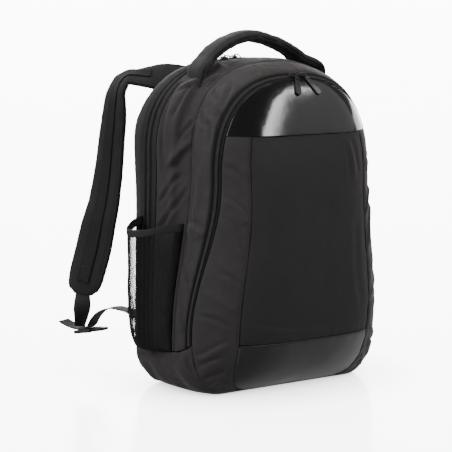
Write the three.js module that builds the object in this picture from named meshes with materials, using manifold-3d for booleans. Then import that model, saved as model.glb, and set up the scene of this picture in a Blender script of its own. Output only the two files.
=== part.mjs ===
// Laptop backpack, empty, standing on its flat base. Millimetres, +Z up, front towards -Y,
// +X to the right seen from the front. The origin is the middle of the base, on the floor.
import * as THREE from "three";
import Module from "manifold-3d";
import { mergeVertices } from "three/addons/utils/BufferGeometryUtils.js";

const wasm = await Module();
wasm.setup();

// Bag
const HEIGHT = 460; // floor to the crown of the main compartment
const WIDTH = 344; // across the hips
const REAR_DEPTH = 103; // origin to the back panel's edge seam
const FRONT_DEPTH = 57; // origin to the front door's edge seam
const BACK_PUFF = 13; // how far the padded back stands behind its edge seam
const DOOR_PUFF = 47; // how far the front door stands before its edge seam
const CLOTH = 2; // gussets and door panels
const BASE_CLOTH = 3; // doubled cloth of the base
const PAD = 11; // foam of the back panel
const GAP = 0.3; // clearance between neighbouring pieces

// Door seams
const DOOR_TOP = 0.1; // ring place of the door's flat top edge, see ringPoint
const DOOR_TOP_SEAM = 0.755; // ring place of the top patch's lower edge
const DOOR_LOW_SEAM = 2.06; // ring place of the bottom patch's upper edge
const BASE_SEAM = 2.06; // ring place of the base's upper edge

// Side pockets
const POCKET_BULGE = 34; // how far the left one stands out
const FLAT_POCKET_BULGE = 9; // the right one lies flat
const POCKET_FLARE = 8; // what the hem stands out further
const POCKET_NET = 1.2;
const HEM = 2.6;
const HEM_HEIGHT = 10;

// Carrying handle
const HANDLE_SPAN = 208; // outside
const HANDLE_RISE = 64; // over the feet
const HANDLE_LEAN = 15; // the soft arch leans to the left
const HANDLE_WIDTH = 38;
const HANDLE_THICK = 16;
const HANDLE_Y = 40;
const HANDLE_FLARE = 0.25; // what the legs are thicker at their feet
const HANDLE_FOOT = 3;

// Shoulder straps
const STRAP_WIDTH = 66;
const STRAP_THICK = 11;
const STRAP_ROOT_X = 66; // middle of the root from the bag's middle
const STRAP_REACH = 112; // behind the back panel's edge seam
const STRAP_SPREAD = 118; // outwards from the root
const WEB_WIDTH = 25;
const WEB_THICK = 1.6;
const DROP_LENGTH = 54; // from the pad's end down to the lock
const LOCK_OUT = 6; // how far the lock hangs outside the pad's end
const CORNER_OUT = 148; // where the load webbing leaves the back panel, from the middle
const CORNER_HEIGHT = 88;
const LOCK_LENGTH = 30;
const LOCK_WIDTH = 32;
const LOCK_THICK = 5;
const LOCK_FLAP = 20;
const LOCK_RISE = 0.17; // slope of the lock up towards the bag

// Zip sliders
const SLIDER_LENGTH = 13;
const SLIDER_WIDTH = 9;
const SLIDER_THICK = 3.6;
const PULL_LENGTH = 31;
const PULL_WIDTH = 9;
const PULL_THICK = 2.4;
const RING_RADIUS = 5.5;
const RING_WIRE = 1.8;
const RING_LEAN = 0.6; // radians from lying flat

// Outlines round the bag from rear to front, one for each seam. y is a share of REAR_DEPTH behind
// the origin and of FRONT_DEPTH before it. shoulder, hip and foot are half widths as shares of
// WIDTH; spring, top and heel are heights as shares of HEIGHT; lift raises the base's edge and tuck
// draws the hips back, in shares of HEIGHT.
const OUTLINES = [
  {
    y: 1.0, shoulder: 0.472, hip: 0.484, foot: 0.345,
    spring: 0.716, top: 0.993, heel: 0.135, lift: 0.012, tuck: 0,
  },
  {
    y: 0.78, shoulder: 0.481, hip: 0.493, foot: 0.355,
    spring: 0.716, top: 0.998, heel: 0.139, lift: 0, tuck: 0,
  },
  {
    y: 0.5, shoulder: 0.468, hip: 0.494, foot: 0.363,
    spring: 0.712, top: 1.0, heel: 0.143, lift: 0, tuck: 0,
  },
  {
    y: 0.0, shoulder: 0.4, hip: 0.484, foot: 0.355,
    spring: 0.69, top: 0.993, heel: 0.157, lift: 0, tuck: 0,
  },
  {
    y: -0.74, shoulder: 0.388, hip: 0.475, foot: 0.314,
    spring: 0.664, top: 0.964, heel: 0.174, lift: 0, tuck: 0.043,
  },
  {
    y: -1.0, shoulder: 0.366, hip: 0.462, foot: 0.285,
    spring: 0.652, top: 0.943, heel: 0.183, lift: 0.01, tuck: 0.052,
  },
];
const BACK_EDGE = 0;
const MAIN_ZIP_REAR = 1;
const MAIN_ZIP_FRONT = 2;
const MID_SEAM = 3;
const FRONT_ZIP_REAR = 4;
const DOOR_EDGE = 5;
const ROUND = 0.8; // exponent of the rounded corners, 1 would be an ellipse

// Long folds of the gussets on each side, from one ring place and seam to another. high is how far
// a fold stands out and wide its half width, in mm.
const FOLDS = [
  { ring: 0.72, seam: 2.9, toRing: 1.3, toSeam: 2.15, high: 4, wide: 9 },
  { ring: 0.84, seam: 2.9, toRing: 1.22, toSeam: 2.5, high: 3.4, wide: 8 },
  { ring: 1.3, seam: 3.3, toRing: 1.5, toSeam: 3.9, high: 3.2, wide: 8 },
  { ring: 0.95, seam: 3.5, toRing: 1.75, toSeam: 3.35, high: 2.6, wide: 7 },
  { ring: 2.25, seam: 1.9, toRing: 2.75, toSeam: 3.7, high: 5, wide: 10 },
  { ring: 2.3, seam: 3.4, toRing: 2.6, toSeam: 4.6, high: 3.4, wide: 9 },
];

// Share of the door's half width at which its upright seams run, by ring place
const DOOR_SEAM = [
  { ring: 0.0, share: 0.8 },
  { ring: 1.0, share: 0.77 },
  { ring: 1.5, share: 0.72 },
  { ring: 2.06, share: 0.7 },
  { ring: 3.0, share: 0.78 },
];

const clamp01 = (value) => Math.min(1, Math.max(0, value));
const mix = (a, b, share) => a + (b - a) * share;
const smooth = (share) => share * share * (3 - 2 * share);
const spread = (count) => Array.from({ length: count + 1 }, (_, i) => i / count);
const vec = (x, y, z) => new THREE.Vector3(x, y, z);

// Value of a table's column between its rows, without overshoot
function between(rows, column, place) {
  const i = Math.min(rows.length - 2, Math.max(0, Math.floor(place)));
  const value = (k) => rows[Math.min(rows.length - 1, Math.max(0, k))][column];
  const step = (k) => value(k + 1) - value(k);
  const slope = (k) => {
    const before = step(k - 1);
    const after = step(k);
    return before * after <= 0 ? 0 : (2 * before * after) / (before + after);
  };
  const t = place - i;
  const m0 = i === 0 ? step(0) : slope(i);
  const m1 = i === rows.length - 2 ? step(i) : slope(i + 1);
  const a = (2 * t * t * t - 3 * t * t + 1) * value(i);
  const b = (t * t * t - 2 * t * t + t) * m0;
  const c = (-2 * t * t * t + 3 * t * t) * value(i + 1);
  const d = (t * t * t - t * t) * m1;
  return a + b + c + d;
}

// Value of a table's column at a ring place, in straight steps
function atRing(rows, column, ring) {
  const next = Math.max(1, rows.findIndex((row) => row.ring >= ring));
  const [low, high] = [rows[next - 1], rows[next]];
  return mix(low[column], high[column], clamp01((ring - low.ring) / (high.ring - low.ring)));
}

// How far the hips are drawn back at a ring place, most at the top of the heel
const hipShare = (t) => smooth(clamp01((t - 1.1) / 0.9)) * (1 - 0.35 * smooth(clamp01((t - 2.2) / 0.8)));

// A point of the bag's smooth side wall. ring runs from 0 at the crown over 1 at the shoulder, 2 at
// the top of the heel and 3 at the foot to 4 in the middle of the base, negative on the left.
function ringPoint(ring, seam) {
  const get = (column) => between(OUTLINES, column, seam);
  const shoulder = get("shoulder") * WIDTH;
  const hip = get("hip") * WIDTH;
  const foot = get("foot") * WIDTH;
  const spring = get("spring") * HEIGHT;
  const top = get("top") * HEIGHT;
  const lift = get("lift") * HEIGHT;
  const heel = lift + get("heel") * HEIGHT;
  const t = Math.abs(ring);
  const y = get("y");
  let across = foot * (4 - t);
  let up = lift;
  if (t <= 1) {
    const angle = (1 - t) * Math.PI / 2;
    across = shoulder * Math.max(0, Math.cos(angle)) ** ROUND;
    up = spring + (top - spring) * Math.sin(angle) ** ROUND;
  } else if (t <= 2) {
    across = mix(shoulder, hip, smooth(t - 1));
    up = mix(spring, heel, t - 1);
  } else if (t <= 3) {
    const angle = (t - 2) * Math.PI / 2;
    across = foot + (hip - foot) * Math.max(0, Math.cos(angle)) ** ROUND;
    up = lift + (heel - lift) * (1 - Math.sin(angle) ** ROUND);
  }
  const drawn = get("tuck") * HEIGHT * hipShare(t);
  const behind = (y > 0 ? y * REAR_DEPTH : y * FRONT_DEPTH) + drawn;
  return vec(ring < 0 ? -across : across, behind, up);
}

// Outward direction of a surface given by two places
function normalOf(surface, a, b, outwards) {
  const step = 0.012;
  const alongA = surface(a + step, b).sub(surface(a - step, b));
  const alongB = surface(a, b + step).sub(surface(a, b - step));
  return alongA.cross(alongB).normalize().multiplyScalar(outwards);
}

// How far the folds stand out at a place of the side wall
function foldHeight(ring, seam) {
  const place = ringPoint(Math.abs(ring), seam);
  let height = 0;
  for (const fold of FOLDS) {
    const start = ringPoint(fold.ring, fold.seam);
    const end = ringPoint(fold.toRing, fold.toSeam);
    const line = new THREE.Line3(start, end);
    const near = line.closestPointToPoint(place, true, vec(0, 0, 0));
    height += fold.high * Math.exp(-((near.distanceTo(place) / fold.wide) ** 2));
  }
  const rest = smooth(clamp01((2.95 - Math.abs(ring)) / 0.5));
  return height * rest;
}

const wallNormal = (ring, seam) => normalOf(ringPoint, ring, seam, -1);
function wallPoint(ring, seam, out = 0) {
  const rise = foldHeight(ring, seam) * clamp01((5 - seam) * 1.5) * clamp01(seam * 1.5);
  return ringPoint(ring, seam).addScaledVector(wallNormal(ring, seam), rise + out);
}

// A point of the front door: side runs from -1 at its left edge seam to 1 at its right one
function doorPoint(side, ring) {
  const edge = ringPoint(Math.abs(ring), DOOR_EDGE);
  const half = edge.x;
  const x = side * half;
  const top = OUTLINES[DOOR_EDGE].top * HEIGHT;
  const bottom = OUTLINES[DOOR_EDGE].lift * HEIGHT;
  const middle = (top + bottom) / 2;
  const reach = Math.abs(edge.z - middle) / (top - middle);
  const drawn = OUTLINES[DOOR_EDGE].tuck * HEIGHT * hipShare(Math.abs(ring)) * (1 - reach ** 16);
  const puff = (DOOR_PUFF * (1 - reach ** 4) + drawn) * (1 - Math.abs(side) ** 3.6);
  return vec(x, edge.y - puff, edge.z);
}
const doorNormal = (side, ring) => normalOf(doorPoint, side, ring, -1);

// A point of the padded back, numbered as the door is
function backPoint(side, ring) {
  const edge = ringPoint(Math.abs(ring), BACK_EDGE);
  const top = OUTLINES[BACK_EDGE].top * HEIGHT;
  const bottom = OUTLINES[BACK_EDGE].lift * HEIGHT;
  const middle = (top + bottom) / 2;
  const reach = Math.abs(edge.z - middle) / (top - middle);
  const puff = BACK_PUFF * (1 - reach ** 12) * (1 - Math.abs(side) ** 7);
  return vec(side * edge.x, edge.y + puff, edge.z);
}
const backNormal = (side, ring) => normalOf(backPoint, side, ring, 1);

// Direction of the cut between a cap and the wall that it is sewn to
function mitre(capNormal, ring, seam) {
  const side = Math.sign(ring) || 1;
  const onFoot = Math.abs(ring) > 3;
  const wall = onFoot ? vec(0, 0, -1) : wallNormal(ring, seam);
  const cap = onFoot
    ? capNormal(side * (4 - Math.abs(ring)), 2.97)
    : capNormal(side * 0.985, Math.min(2.97, Math.abs(ring)));
  return wall.add(cap).normalize();
}

// One closed mesh from points and triangles, with its faces pointing out
function closedMesh(points, faces) {
  let volume = 0;
  for (const [a, b, c] of faces) {
    volume += points[a].dot(points[b].clone().cross(points[c]));
  }
  const index = faces.flatMap(([a, b, c]) => (volume < 0 ? [a, c, b] : [a, b, c]));
  const geometry = new THREE.BufferGeometry();
  const flat = points.flatMap((p) => [p.x, p.y, p.z]);
  geometry.setAttribute("position", new THREE.Float32BufferAttribute(flat, 3));
  geometry.setIndex(index);
  return geometry;
}

// A thick sheet from two grids of points, the outer and the inner face
function thickSheet(outer, inner) {
  const rows = outer.length;
  const columns = outer[0].length;
  const points = [...outer.flat(), ...inner.flat()];
  const faces = [];
  const at = (i, j, layer) => layer * rows * columns + i * columns + j;
  const quad = (a, b, c, d) => faces.push([a, b, c], [a, c, d]);
  for (let i = 0; i < rows - 1; i++) {
    for (let j = 0; j < columns - 1; j++) {
      quad(at(i, j, 0), at(i, j + 1, 0), at(i + 1, j + 1, 0), at(i + 1, j, 0));
      quad(at(i, j, 1), at(i + 1, j, 1), at(i + 1, j + 1, 1), at(i, j + 1, 1));
    }
  }
  for (let j = 0; j < columns - 1; j++) {
    const last = rows - 1;
    quad(at(0, j, 0), at(0, j, 1), at(0, j + 1, 1), at(0, j + 1, 0));
    quad(at(last, j, 0), at(last, j + 1, 0), at(last, j + 1, 1), at(last, j, 1));
  }
  for (let i = 0; i < rows - 1; i++) {
    const last = columns - 1;
    quad(at(i, 0, 0), at(i + 1, 0, 0), at(i + 1, 0, 1), at(i, 0, 1));
    quad(at(i, last, 0), at(i, last, 1), at(i + 1, last, 1), at(i + 1, last, 0));
  }
  return closedMesh(points, faces);
}

// A closed body through sections of equally many points
function loft(sections) {
  const count = sections[0].length;
  const points = sections.flat();
  const faces = [];
  for (let i = 0; i < sections.length - 1; i++) {
    for (let j = 0; j < count; j++) {
      const [a, b] = [i * count + j, i * count + (j + 1) % count];
      faces.push([a, b, b + count], [a, b + count, a + count]);
    }
  }
  const last = (sections.length - 1) * count;
  for (let j = 1; j < count - 1; j++) {
    faces.push([0, j + 1, j], [last, last + j, last + j + 1]);
  }
  return closedMesh(points, faces);
}

// A flat band's section with rounded edges, across one direction and thick along the other. marks
// are further points on both faces, this far from the middle.
function bandSection(row, cornerSteps, marks) {
  const section = [];
  const put = (x, y) =>
    section.push(row.middle.clone().addScaledVector(row.across, x).addScaledVector(row.out, y));
  const radius = Math.min(row.thick, row.width) / 2;
  for (const end of [1, -1]) {
    for (let k = 0; k <= cornerSteps; k++) {
      const angle = (k / cornerSteps - 0.5) * Math.PI;
      put(end * (row.width / 2 - radius + radius * Math.cos(angle)), end * row.thick / 2 * Math.sin(angle));
    }
    for (const mark of marks) put(end * mark, end * row.thick / 2);
  }
  return section;
}

// The rows of a band with their true directions: across is set square to the path and out to both
function framed(rows) {
  return rows.map((row, i) => {
    const before = rows[Math.max(0, i - 1)].middle;
    const after = rows[Math.min(rows.length - 1, i + 1)].middle;
    const along = after.clone().sub(before).normalize();
    const across = row.across.clone().addScaledVector(along, -row.across.dot(along)).normalize();
    return { ...row, across, out: along.cross(across).normalize() };
  });
}

const band = (rows, cornerSteps = 2, marks = []) =>
  loft(rows.map((row) => bandSection(row, cornerSteps, marks)));

function solid(geometry) {
  const bare = geometry.clone();
  bare.deleteAttribute("normal");
  bare.deleteAttribute("uv");
  const merged = mergeVertices(bare, 1e-4);
  const mesh = new wasm.Mesh({
    numProp: 3,
    vertProperties: new Float32Array(merged.attributes.position.array),
    triVerts: new Uint32Array(merged.index.array),
  });
  return new wasm.Manifold(mesh);
}

function geometryOf(manifold) {
  const mesh = manifold.getMesh();
  const geometry = new THREE.BufferGeometry();
  geometry.setAttribute("position", new THREE.BufferAttribute(mesh.vertProperties, 3));
  geometry.setIndex(new THREE.BufferAttribute(mesh.triVerts, 1));
  return geometry;
}

const finish = (color, roughness, metalness = 0) =>
  new THREE.MeshStandardMaterial({ color, roughness, metalness });
const CLOTH_BLACK = finish(0x2e2c2d, 0.85);
const PATENT = finish(0x141414, 0.12);
const SATIN = finish(0x3a3c3c, 0.38);
const TAPE = finish(0x222323, 0.8);
const WEBBING = finish(0x3a3839, 0.75);
const NET = finish(0x1c1c1c, 0.8);
const PLASTIC = finish(0x1a1a1a, 0.4);
const GUNMETAL = finish(0x55565a, 0.35, 0.9);

const bag = new THREE.Group();
function add(name, geometry, material) {
  const mesh = new THREE.Mesh(geometry, material);
  mesh.name = name;
  bag.add(mesh);
  return mesh;
}

// Ring places of the bands over the top, closer together on the round shoulders
const ARCH_RINGS = [DOOR_TOP, 0.2, 0.32, 0.46, 0.6, DOOR_TOP_SEAM, 0.88, 1];
const SIDE_RINGS = [1.12, 1.24, 1.36, 1.48, 1.6, 1.72, 1.84, 1.93, 2, BASE_SEAM];
const HEEL_RINGS = [2.2, 2.4, 2.65, 3];
const mirrored = (rings) => rings.slice().reverse().map((ring) => -ring);
const BAND_RINGS = [...mirrored([...ARCH_RINGS, ...SIDE_RINGS]), 0, ...ARCH_RINGS, ...SIDE_RINGS];

// The share of one seam step that covers half the clearance, and of one ring step at the base that
// covers all of it
const seamGap = (seam) => GAP / 2 / ringPoint(1.5, seam).distanceTo(ringPoint(1.5, seam + 1));
const RING_PROBE = 0.05;
const RING_GAP = RING_PROBE * GAP
  / ringPoint(BASE_SEAM, MID_SEAM).distanceTo(ringPoint(BASE_SEAM + RING_PROBE, MID_SEAM));

// A band of the side wall between two seams, over the top from base to base. Its edges at the caps
// are cut along the mitre.
function wallBand(from, to, steps, thick) {
  const first = from + seamGap(from);
  const last = to - seamGap(to - 1);
  const places = spread(steps).map((share) => mix(first, last, share));
  const low = BASE_SEAM - RING_GAP;
  const rings = BAND_RINGS.map((ring) => Math.sign(ring) * Math.min(Math.abs(ring), low));
  const outer = rings.map((ring) => places.map((seam) => wallPoint(ring, seam)));
  const inner = rings.map((ring, i) => places.map((seam, j) => {
    let direction = wallNormal(ring, seam);
    if (j === 0 && from === BACK_EDGE) direction = mitre(backNormal, ring, from);
    if (j === steps && to === DOOR_EDGE) direction = mitre(doorNormal, ring, to);
    return outer[i][j].clone().addScaledVector(direction, -thick);
  }));
  return thickSheet(outer, inner);
}

add("rear_gusset", wallBand(BACK_EDGE, MAIN_ZIP_REAR, 1, CLOTH), CLOTH_BLACK);
add("main_zip", wallBand(MAIN_ZIP_REAR, MAIN_ZIP_FRONT, 1, CLOTH), TAPE);
add("main_gusset", wallBand(MAIN_ZIP_FRONT, MID_SEAM, 4, CLOTH), CLOTH_BLACK);
add("front_gusset", wallBand(MID_SEAM, FRONT_ZIP_REAR, 3, CLOTH), CLOTH_BLACK);
add("front_zip", wallBand(FRONT_ZIP_REAR, DOOR_EDGE, 1, CLOTH), TAPE);

// The base runs under the bag from one base seam to the other
function basePanel() {
  const half = [BASE_SEAM + RING_GAP, ...HEEL_RINGS, 3.5];
  const rings = [...half, 4, ...mirrored(half)];
  const first = seamGap(BACK_EDGE);
  const last = DOOR_EDGE - seamGap(FRONT_ZIP_REAR);
  const places = [first, MAIN_ZIP_REAR, MAIN_ZIP_FRONT, MID_SEAM, FRONT_ZIP_REAR, last];
  const outer = rings.map((ring) => places.map((seam) => wallPoint(ring, seam)));
  const inner = rings.map((ring, i) => places.map((seam, j) => {
    let direction = Math.abs(ring) >= 3 ? vec(0, 0, -1) : wallNormal(ring, seam);
    if (j === 0) direction = mitre(backNormal, ring, BACK_EDGE);
    if (j === places.length - 1) direction = mitre(doorNormal, ring, DOOR_EDGE);
    return outer[i][j].clone().addScaledVector(direction, -BASE_CLOTH);
  }));
  return thickSheet(outer, inner);
}
add("base", basePanel(), CLOTH_BLACK);

// A panel of the door or back, with the side shares of its columns at each ring place. An edge on
// the cap's rim is cut along the mitre, and every edge keeps half the clearance.
function capPanel(surface, normal, seam, rings, columnsAt, thick) {
  const lastRow = rings.length - 1;
  const places = rings.map((ring) => {
    const sides = columnsAt(ring);
    const share = GAP / 2 / ringPoint(ring, seam).x;
    return [sides[0] + share, ...sides.slice(1, -1), sides[sides.length - 1] - share];
  });
  const outer = places.map((sides, i) => sides.map((side) => {
    const point = surface(side, rings[i]);
    if (i === 0) point.z -= GAP / 2;
    if (i === lastRow) point.z += GAP;
    return point;
  }));
  const inner = places.map((sides, i) => sides.map((side, j) => {
    const sign = Math.sign(side) || 1;
    const onRim = Math.abs(columnsAt(rings[i])[j]) === 1;
    let direction = normal(side, Math.min(2.97, rings[i]));
    if (onRim || rings[i] === DOOR_TOP) direction = mitre(normal, sign * rings[i], seam);
    if (rings[i] === 3) direction = mitre(normal, sign * (4 - Math.abs(side)), seam);
    return outer[i][j].clone().addScaledVector(direction, -thick);
  }));
  return thickSheet(outer, inner);
}

const TOP_PATCH_RINGS = ARCH_RINGS.filter((ring) => ring <= DOOR_TOP_SEAM);
const MIDDLE_RINGS = [...ARCH_RINGS, ...SIDE_RINGS].filter((ring) => ring >= DOOR_TOP_SEAM);
const FOOT_RINGS = [DOOR_LOW_SEAM, ...HEEL_RINGS];
const doorSeam = (ring) => atRing(DOOR_SEAM, "share", ring);
const steps = (from, to, count) => spread(count).map((share) => mix(from, to, share));
const leftColumns = (ring) => steps(-1, -doorSeam(ring), 3);
const middleColumns = (ring) => steps(-doorSeam(ring), doorSeam(ring), 5);
const rightColumns = (ring) => steps(doorSeam(ring), 1, 3);
const allColumns = (ring) =>
  [...leftColumns(ring), ...middleColumns(ring).slice(1), ...rightColumns(ring).slice(1)];
const door = (rings, columnsAt) =>
  capPanel(doorPoint, doorNormal, DOOR_EDGE, rings, columnsAt, CLOTH);
add("door_top_patch", door(TOP_PATCH_RINGS, allColumns), PATENT);
add("door_centre", door(MIDDLE_RINGS, middleColumns), CLOTH_BLACK);
add("door_bottom_patch", door(FOOT_RINGS, middleColumns), SATIN);
const sideRings = [...MIDDLE_RINGS, ...HEEL_RINGS];
add("door_side_left", door(sideRings, leftColumns), CLOTH_BLACK);
add("door_side_right", door(sideRings, rightColumns), CLOTH_BLACK);
const backRings = [...ARCH_RINGS, ...SIDE_RINGS, ...HEEL_RINGS];
const backColumns = () => [-1, -0.93, -0.8, -0.5, -0.17, 0.17, 0.5, 0.8, 0.93, 1];
add("back_panel", capPanel(backPoint, backNormal, BACK_EDGE, backRings, backColumns, PAD), CLOTH_BLACK);

// A side pocket: a net that stands out from the side between the main zip and the mid seam, open
// at its top edge. across runs from its front edge to its rear one and down from the hem.
const POCKET_TOP_RING = 1.37;
const POCKET_LOW_RING = 2.05;
const POCKET_FRONT = 2.93;
const POCKET_REAR = 1.07;
const HEM_DIP = 0.05;
function pocketPoint(side, across, down, out) {
  const most = side < 0 ? POCKET_BULGE : FLAT_POCKET_BULGE;
  const flare = POCKET_FLARE * most / POCKET_BULGE;
  const dip = HEM_DIP * Math.sin(Math.PI * across) * (1 - down);
  const ring = mix(POCKET_TOP_RING, POCKET_LOW_RING, down) + dip;
  const bulge = most * Math.sqrt(Math.max(0, 1 - down ** 6)) + flare * (1 - down) ** 2;
  const round = Math.max(0, Math.sin(Math.PI * across)) ** 0.7;
  const stand = 2 * GAP + bulge * round + out;
  return wallPoint(side * ring, mix(POCKET_FRONT, POCKET_REAR, across), stand);
}
const NET_DOWN = [0, 0.2, 0.4, 0.6, 0.78, 0.9, 0.97, 1];
const NET_ACROSS = [0, 0.06, 0.16, 0.3, 0.43, 0.57, 0.7, 0.84, 0.94, 1];
const HEM_SHARE = HEM_HEIGHT / ringPoint(POCKET_TOP_RING, MID_SEAM)
  .distanceTo(ringPoint(POCKET_LOW_RING, MID_SEAM));
for (const [name, side] of [["left", -1], ["right", 1]]) {
  const sheet = (downs, low, high) => thickSheet(
    downs.map((down) => NET_ACROSS.map((across) => pocketPoint(side, across, down, high))),
    downs.map((down) => NET_ACROSS.map((across) => pocketPoint(side, across, down, low))),
  );
  add(`pocket_${name}`, sheet(NET_DOWN, 0, POCKET_NET), NET);
  const hemLow = -0.01 * GAP;
  add(`pocket_hem_${name}`, sheet([hemLow - HEM_SHARE, hemLow], 0, HEM), WEBBING);
}

// The carrying handle: an arch across the bag that stands on two sewn feet
const FOOT_RINGS_ON_TOP = [0.31, 0.36, 0.42, 0.48];
const FOOT_SEAMS = [2.04, 2.5, 2.96];
function footSheet(side, low, high, rings = FOOT_RINGS_ON_TOP, seams = FOOT_SEAMS) {
  const layer = (out) => rings.map((ring) => seams.map((seam) => wallPoint(side * ring, seam, out)));
  return thickSheet(layer(high), layer(low));
}
const handleMiddle = (angle) => {
  const power = 1.25;
  const reach = HANDLE_SPAN / 2 - HANDLE_THICK / 2;
  const rise = HANDLE_RISE - HANDLE_THICK / 2;
  const x = -reach * Math.sign(Math.cos(angle)) * Math.abs(Math.cos(angle)) ** power;
  const up = Math.sin(angle) ** power;
  return vec(x - HANDLE_LEAN * up, HANDLE_Y, HEIGHT - HANDLE_RISE / 2.7 + rise * up);
};
function handleArch() {
  const arch = spread(16).map((share) => handleMiddle(share * Math.PI));
  const down = vec(0, 0, HANDLE_THICK);
  const middles = [arch[0].clone().sub(down), ...arch, arch[arch.length - 1].clone().sub(down)];
  const rows = middles.map((middle) => {
    const low = clamp01((HEIGHT - middle.z) / HANDLE_THICK);
    const thick = HANDLE_THICK * (1 + HANDLE_FLARE * low);
    return { middle, across: vec(0, 1, 0), width: HANDLE_WIDTH, thick };
  });
  let arched = solid(band(framed(rows), 3));
  const bed = [1.6, 2, 2.3, 2.6, 3, 3.3];
  const bedRings = [0.2, 0.3, 0.4, 0.5, 0.6, 0.75];
  for (const side of [-1, 1]) {
    const under = footSheet(side, -HANDLE_SPAN / 6, HANDLE_FOOT + 3 * GAP, bedRings, bed);
    arched = arched.subtract(solid(under));
  }
  return geometryOf(arched);
}
add("handle", handleArch(), CLOTH_BLACK);
for (const [name, side] of [["left", -1], ["right", 1]]) {
  add(`handle_foot_${name}`, footSheet(side, 2.5 * GAP, HANDLE_FOOT), CLOTH_BLACK);
}

// Shoulder strap from its root at the back to its free end: out, back and up are shares of
// STRAP_SPREAD, STRAP_REACH and HEIGHT, face is the compass angle of the band's width and tip its
// slope, wide and thick are shares of the strap's size.
const STRAP_PATH = [
  { out: -0.03, back: -0.02, up: 0.918, face: -174, tip: -0.05, wide: 0.9, thick: 0.7 },
  { out: 0.16, back: 0.1, up: 0.934, face: -158, tip: -0.15, wide: 0.94, thick: 0.85 },
  { out: 0.38, back: 0.24, up: 0.942, face: -138, tip: -0.25, wide: 0.98, thick: 1 },
  { out: 0.58, back: 0.4, up: 0.94, face: -120, tip: -0.25, wide: 1, thick: 1 },
  { out: 0.67, back: 0.5, up: 0.912, face: -108, tip: -0.15, wide: 1, thick: 1 },
  { out: 0.685, back: 0.58, up: 0.868, face: -98, tip: -0.05, wide: 1, thick: 1 },
  { out: 0.67, back: 0.69, up: 0.787, face: -92, tip: 0, wide: 1, thick: 1 },
  { out: 0.67, back: 0.78, up: 0.685, face: -88, tip: 0, wide: 1, thick: 1 },
  { out: 0.71, back: 0.86, up: 0.55, face: -82, tip: 0, wide: 1, thick: 1 },
  { out: 0.79, back: 0.9, up: 0.456, face: -74, tip: 0, wide: 1, thick: 1 },
  { out: 0.85, back: 0.91, up: 0.39, face: -71, tip: 0, wide: 1, thick: 1 },
  { out: 0.95, back: 0.91, up: 0.309, face: -70, tip: 0, wide: 0.97, thick: 1 },
  { out: 1.0, back: 0.91, up: 0.265, face: -70, tip: 0, wide: 0.84, thick: 0.9 },
  { out: 1.01, back: 0.91, up: 0.243, face: -70, tip: 0, wide: 0.5, thick: 0.7 },
];
const FACING_FIRST = 2; // rows between which the webbing is sewn on the pad's face
const FACING_LAST = 11.5;
const STRAP_STEPS = 2; // sections for each row

// The load webbing from the bag's corner over the lock to its tail: run is the share of the way to
// the lock's far end, up the share of the corner's height over the lock
const LOAD_PATH = [
  { run: 0, up: 1 },
  { run: 0.08, up: 1.42 },
  { run: 0.2, up: 1.6 },
  { run: 0.36, up: 1.65 },
  { run: 0.5, up: 1.5 },
  { run: 0.63, up: 1.15 },
  { run: 0.74, up: 0.6 },
  { run: 0.81, up: 0.1 },
  { run: 0.86, up: 0 },
  { run: 0.93, up: 0 },
  { run: 1.0, up: 0.02 },
  { run: 1.1, up: 0.14 },
  { run: 1.2, up: 0.36 },
  { run: 1.28, up: 0.62 },
];

// A ladder lock: a frame with two slots and a round thumb flap, lying flat along +X
function ladderLock() {
  const plate = new THREE.BoxGeometry(LOCK_LENGTH, LOCK_WIDTH, LOCK_THICK).translate(LOCK_LENGTH / 2, 0, 0);
  const flapRadius = LOCK_WIDTH * 0.4;
  const flap = new THREE.CylinderGeometry(flapRadius, flapRadius, LOCK_THICK * 0.7, 20);
  flap.rotateX(Math.PI / 2).translate(LOCK_LENGTH + LOCK_FLAP - flapRadius, 0, 0);
  let lock = solid(plate).add(solid(flap));
  for (const middle of [0.28, 0.72]) {
    const slot = new THREE.BoxGeometry(0.28 * LOCK_LENGTH, WEB_WIDTH + 2 * GAP, 2 * LOCK_THICK);
    lock = lock.subtract(solid(slot.translate(middle * LOCK_LENGTH, 0, 0)));
  }
  return geometryOf(lock);
}

// The room that the back panel takes, with the clearance, for cutting what is sewn onto it
function backRoom() {
  const layer = (out) => backRings.map((ring) => backColumns().map((side) =>
    backPoint(side, ring).addScaledVector(backNormal(side, Math.min(2.97, ring)), out)));
  return solid(thickSheet(layer(GAP), layer(-2 * PAD)));
}

// A flat strip of webbing along a band's rows between two heights over its middle
function strip(rows, low, high, ends = [-1, 1]) {
  const layer = (height) => rows.map((row) => ends.map((end) => row.middle.clone()
    .addScaledVector(row.across, end * WEB_WIDTH / 2)
    .addScaledVector(row.out, height(row))));
  return thickSheet(layer(high), layer(low));
}
const webbing = (rows) => strip(framed(rows), () => -WEB_THICK / 2, () => WEB_THICK / 2);

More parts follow.
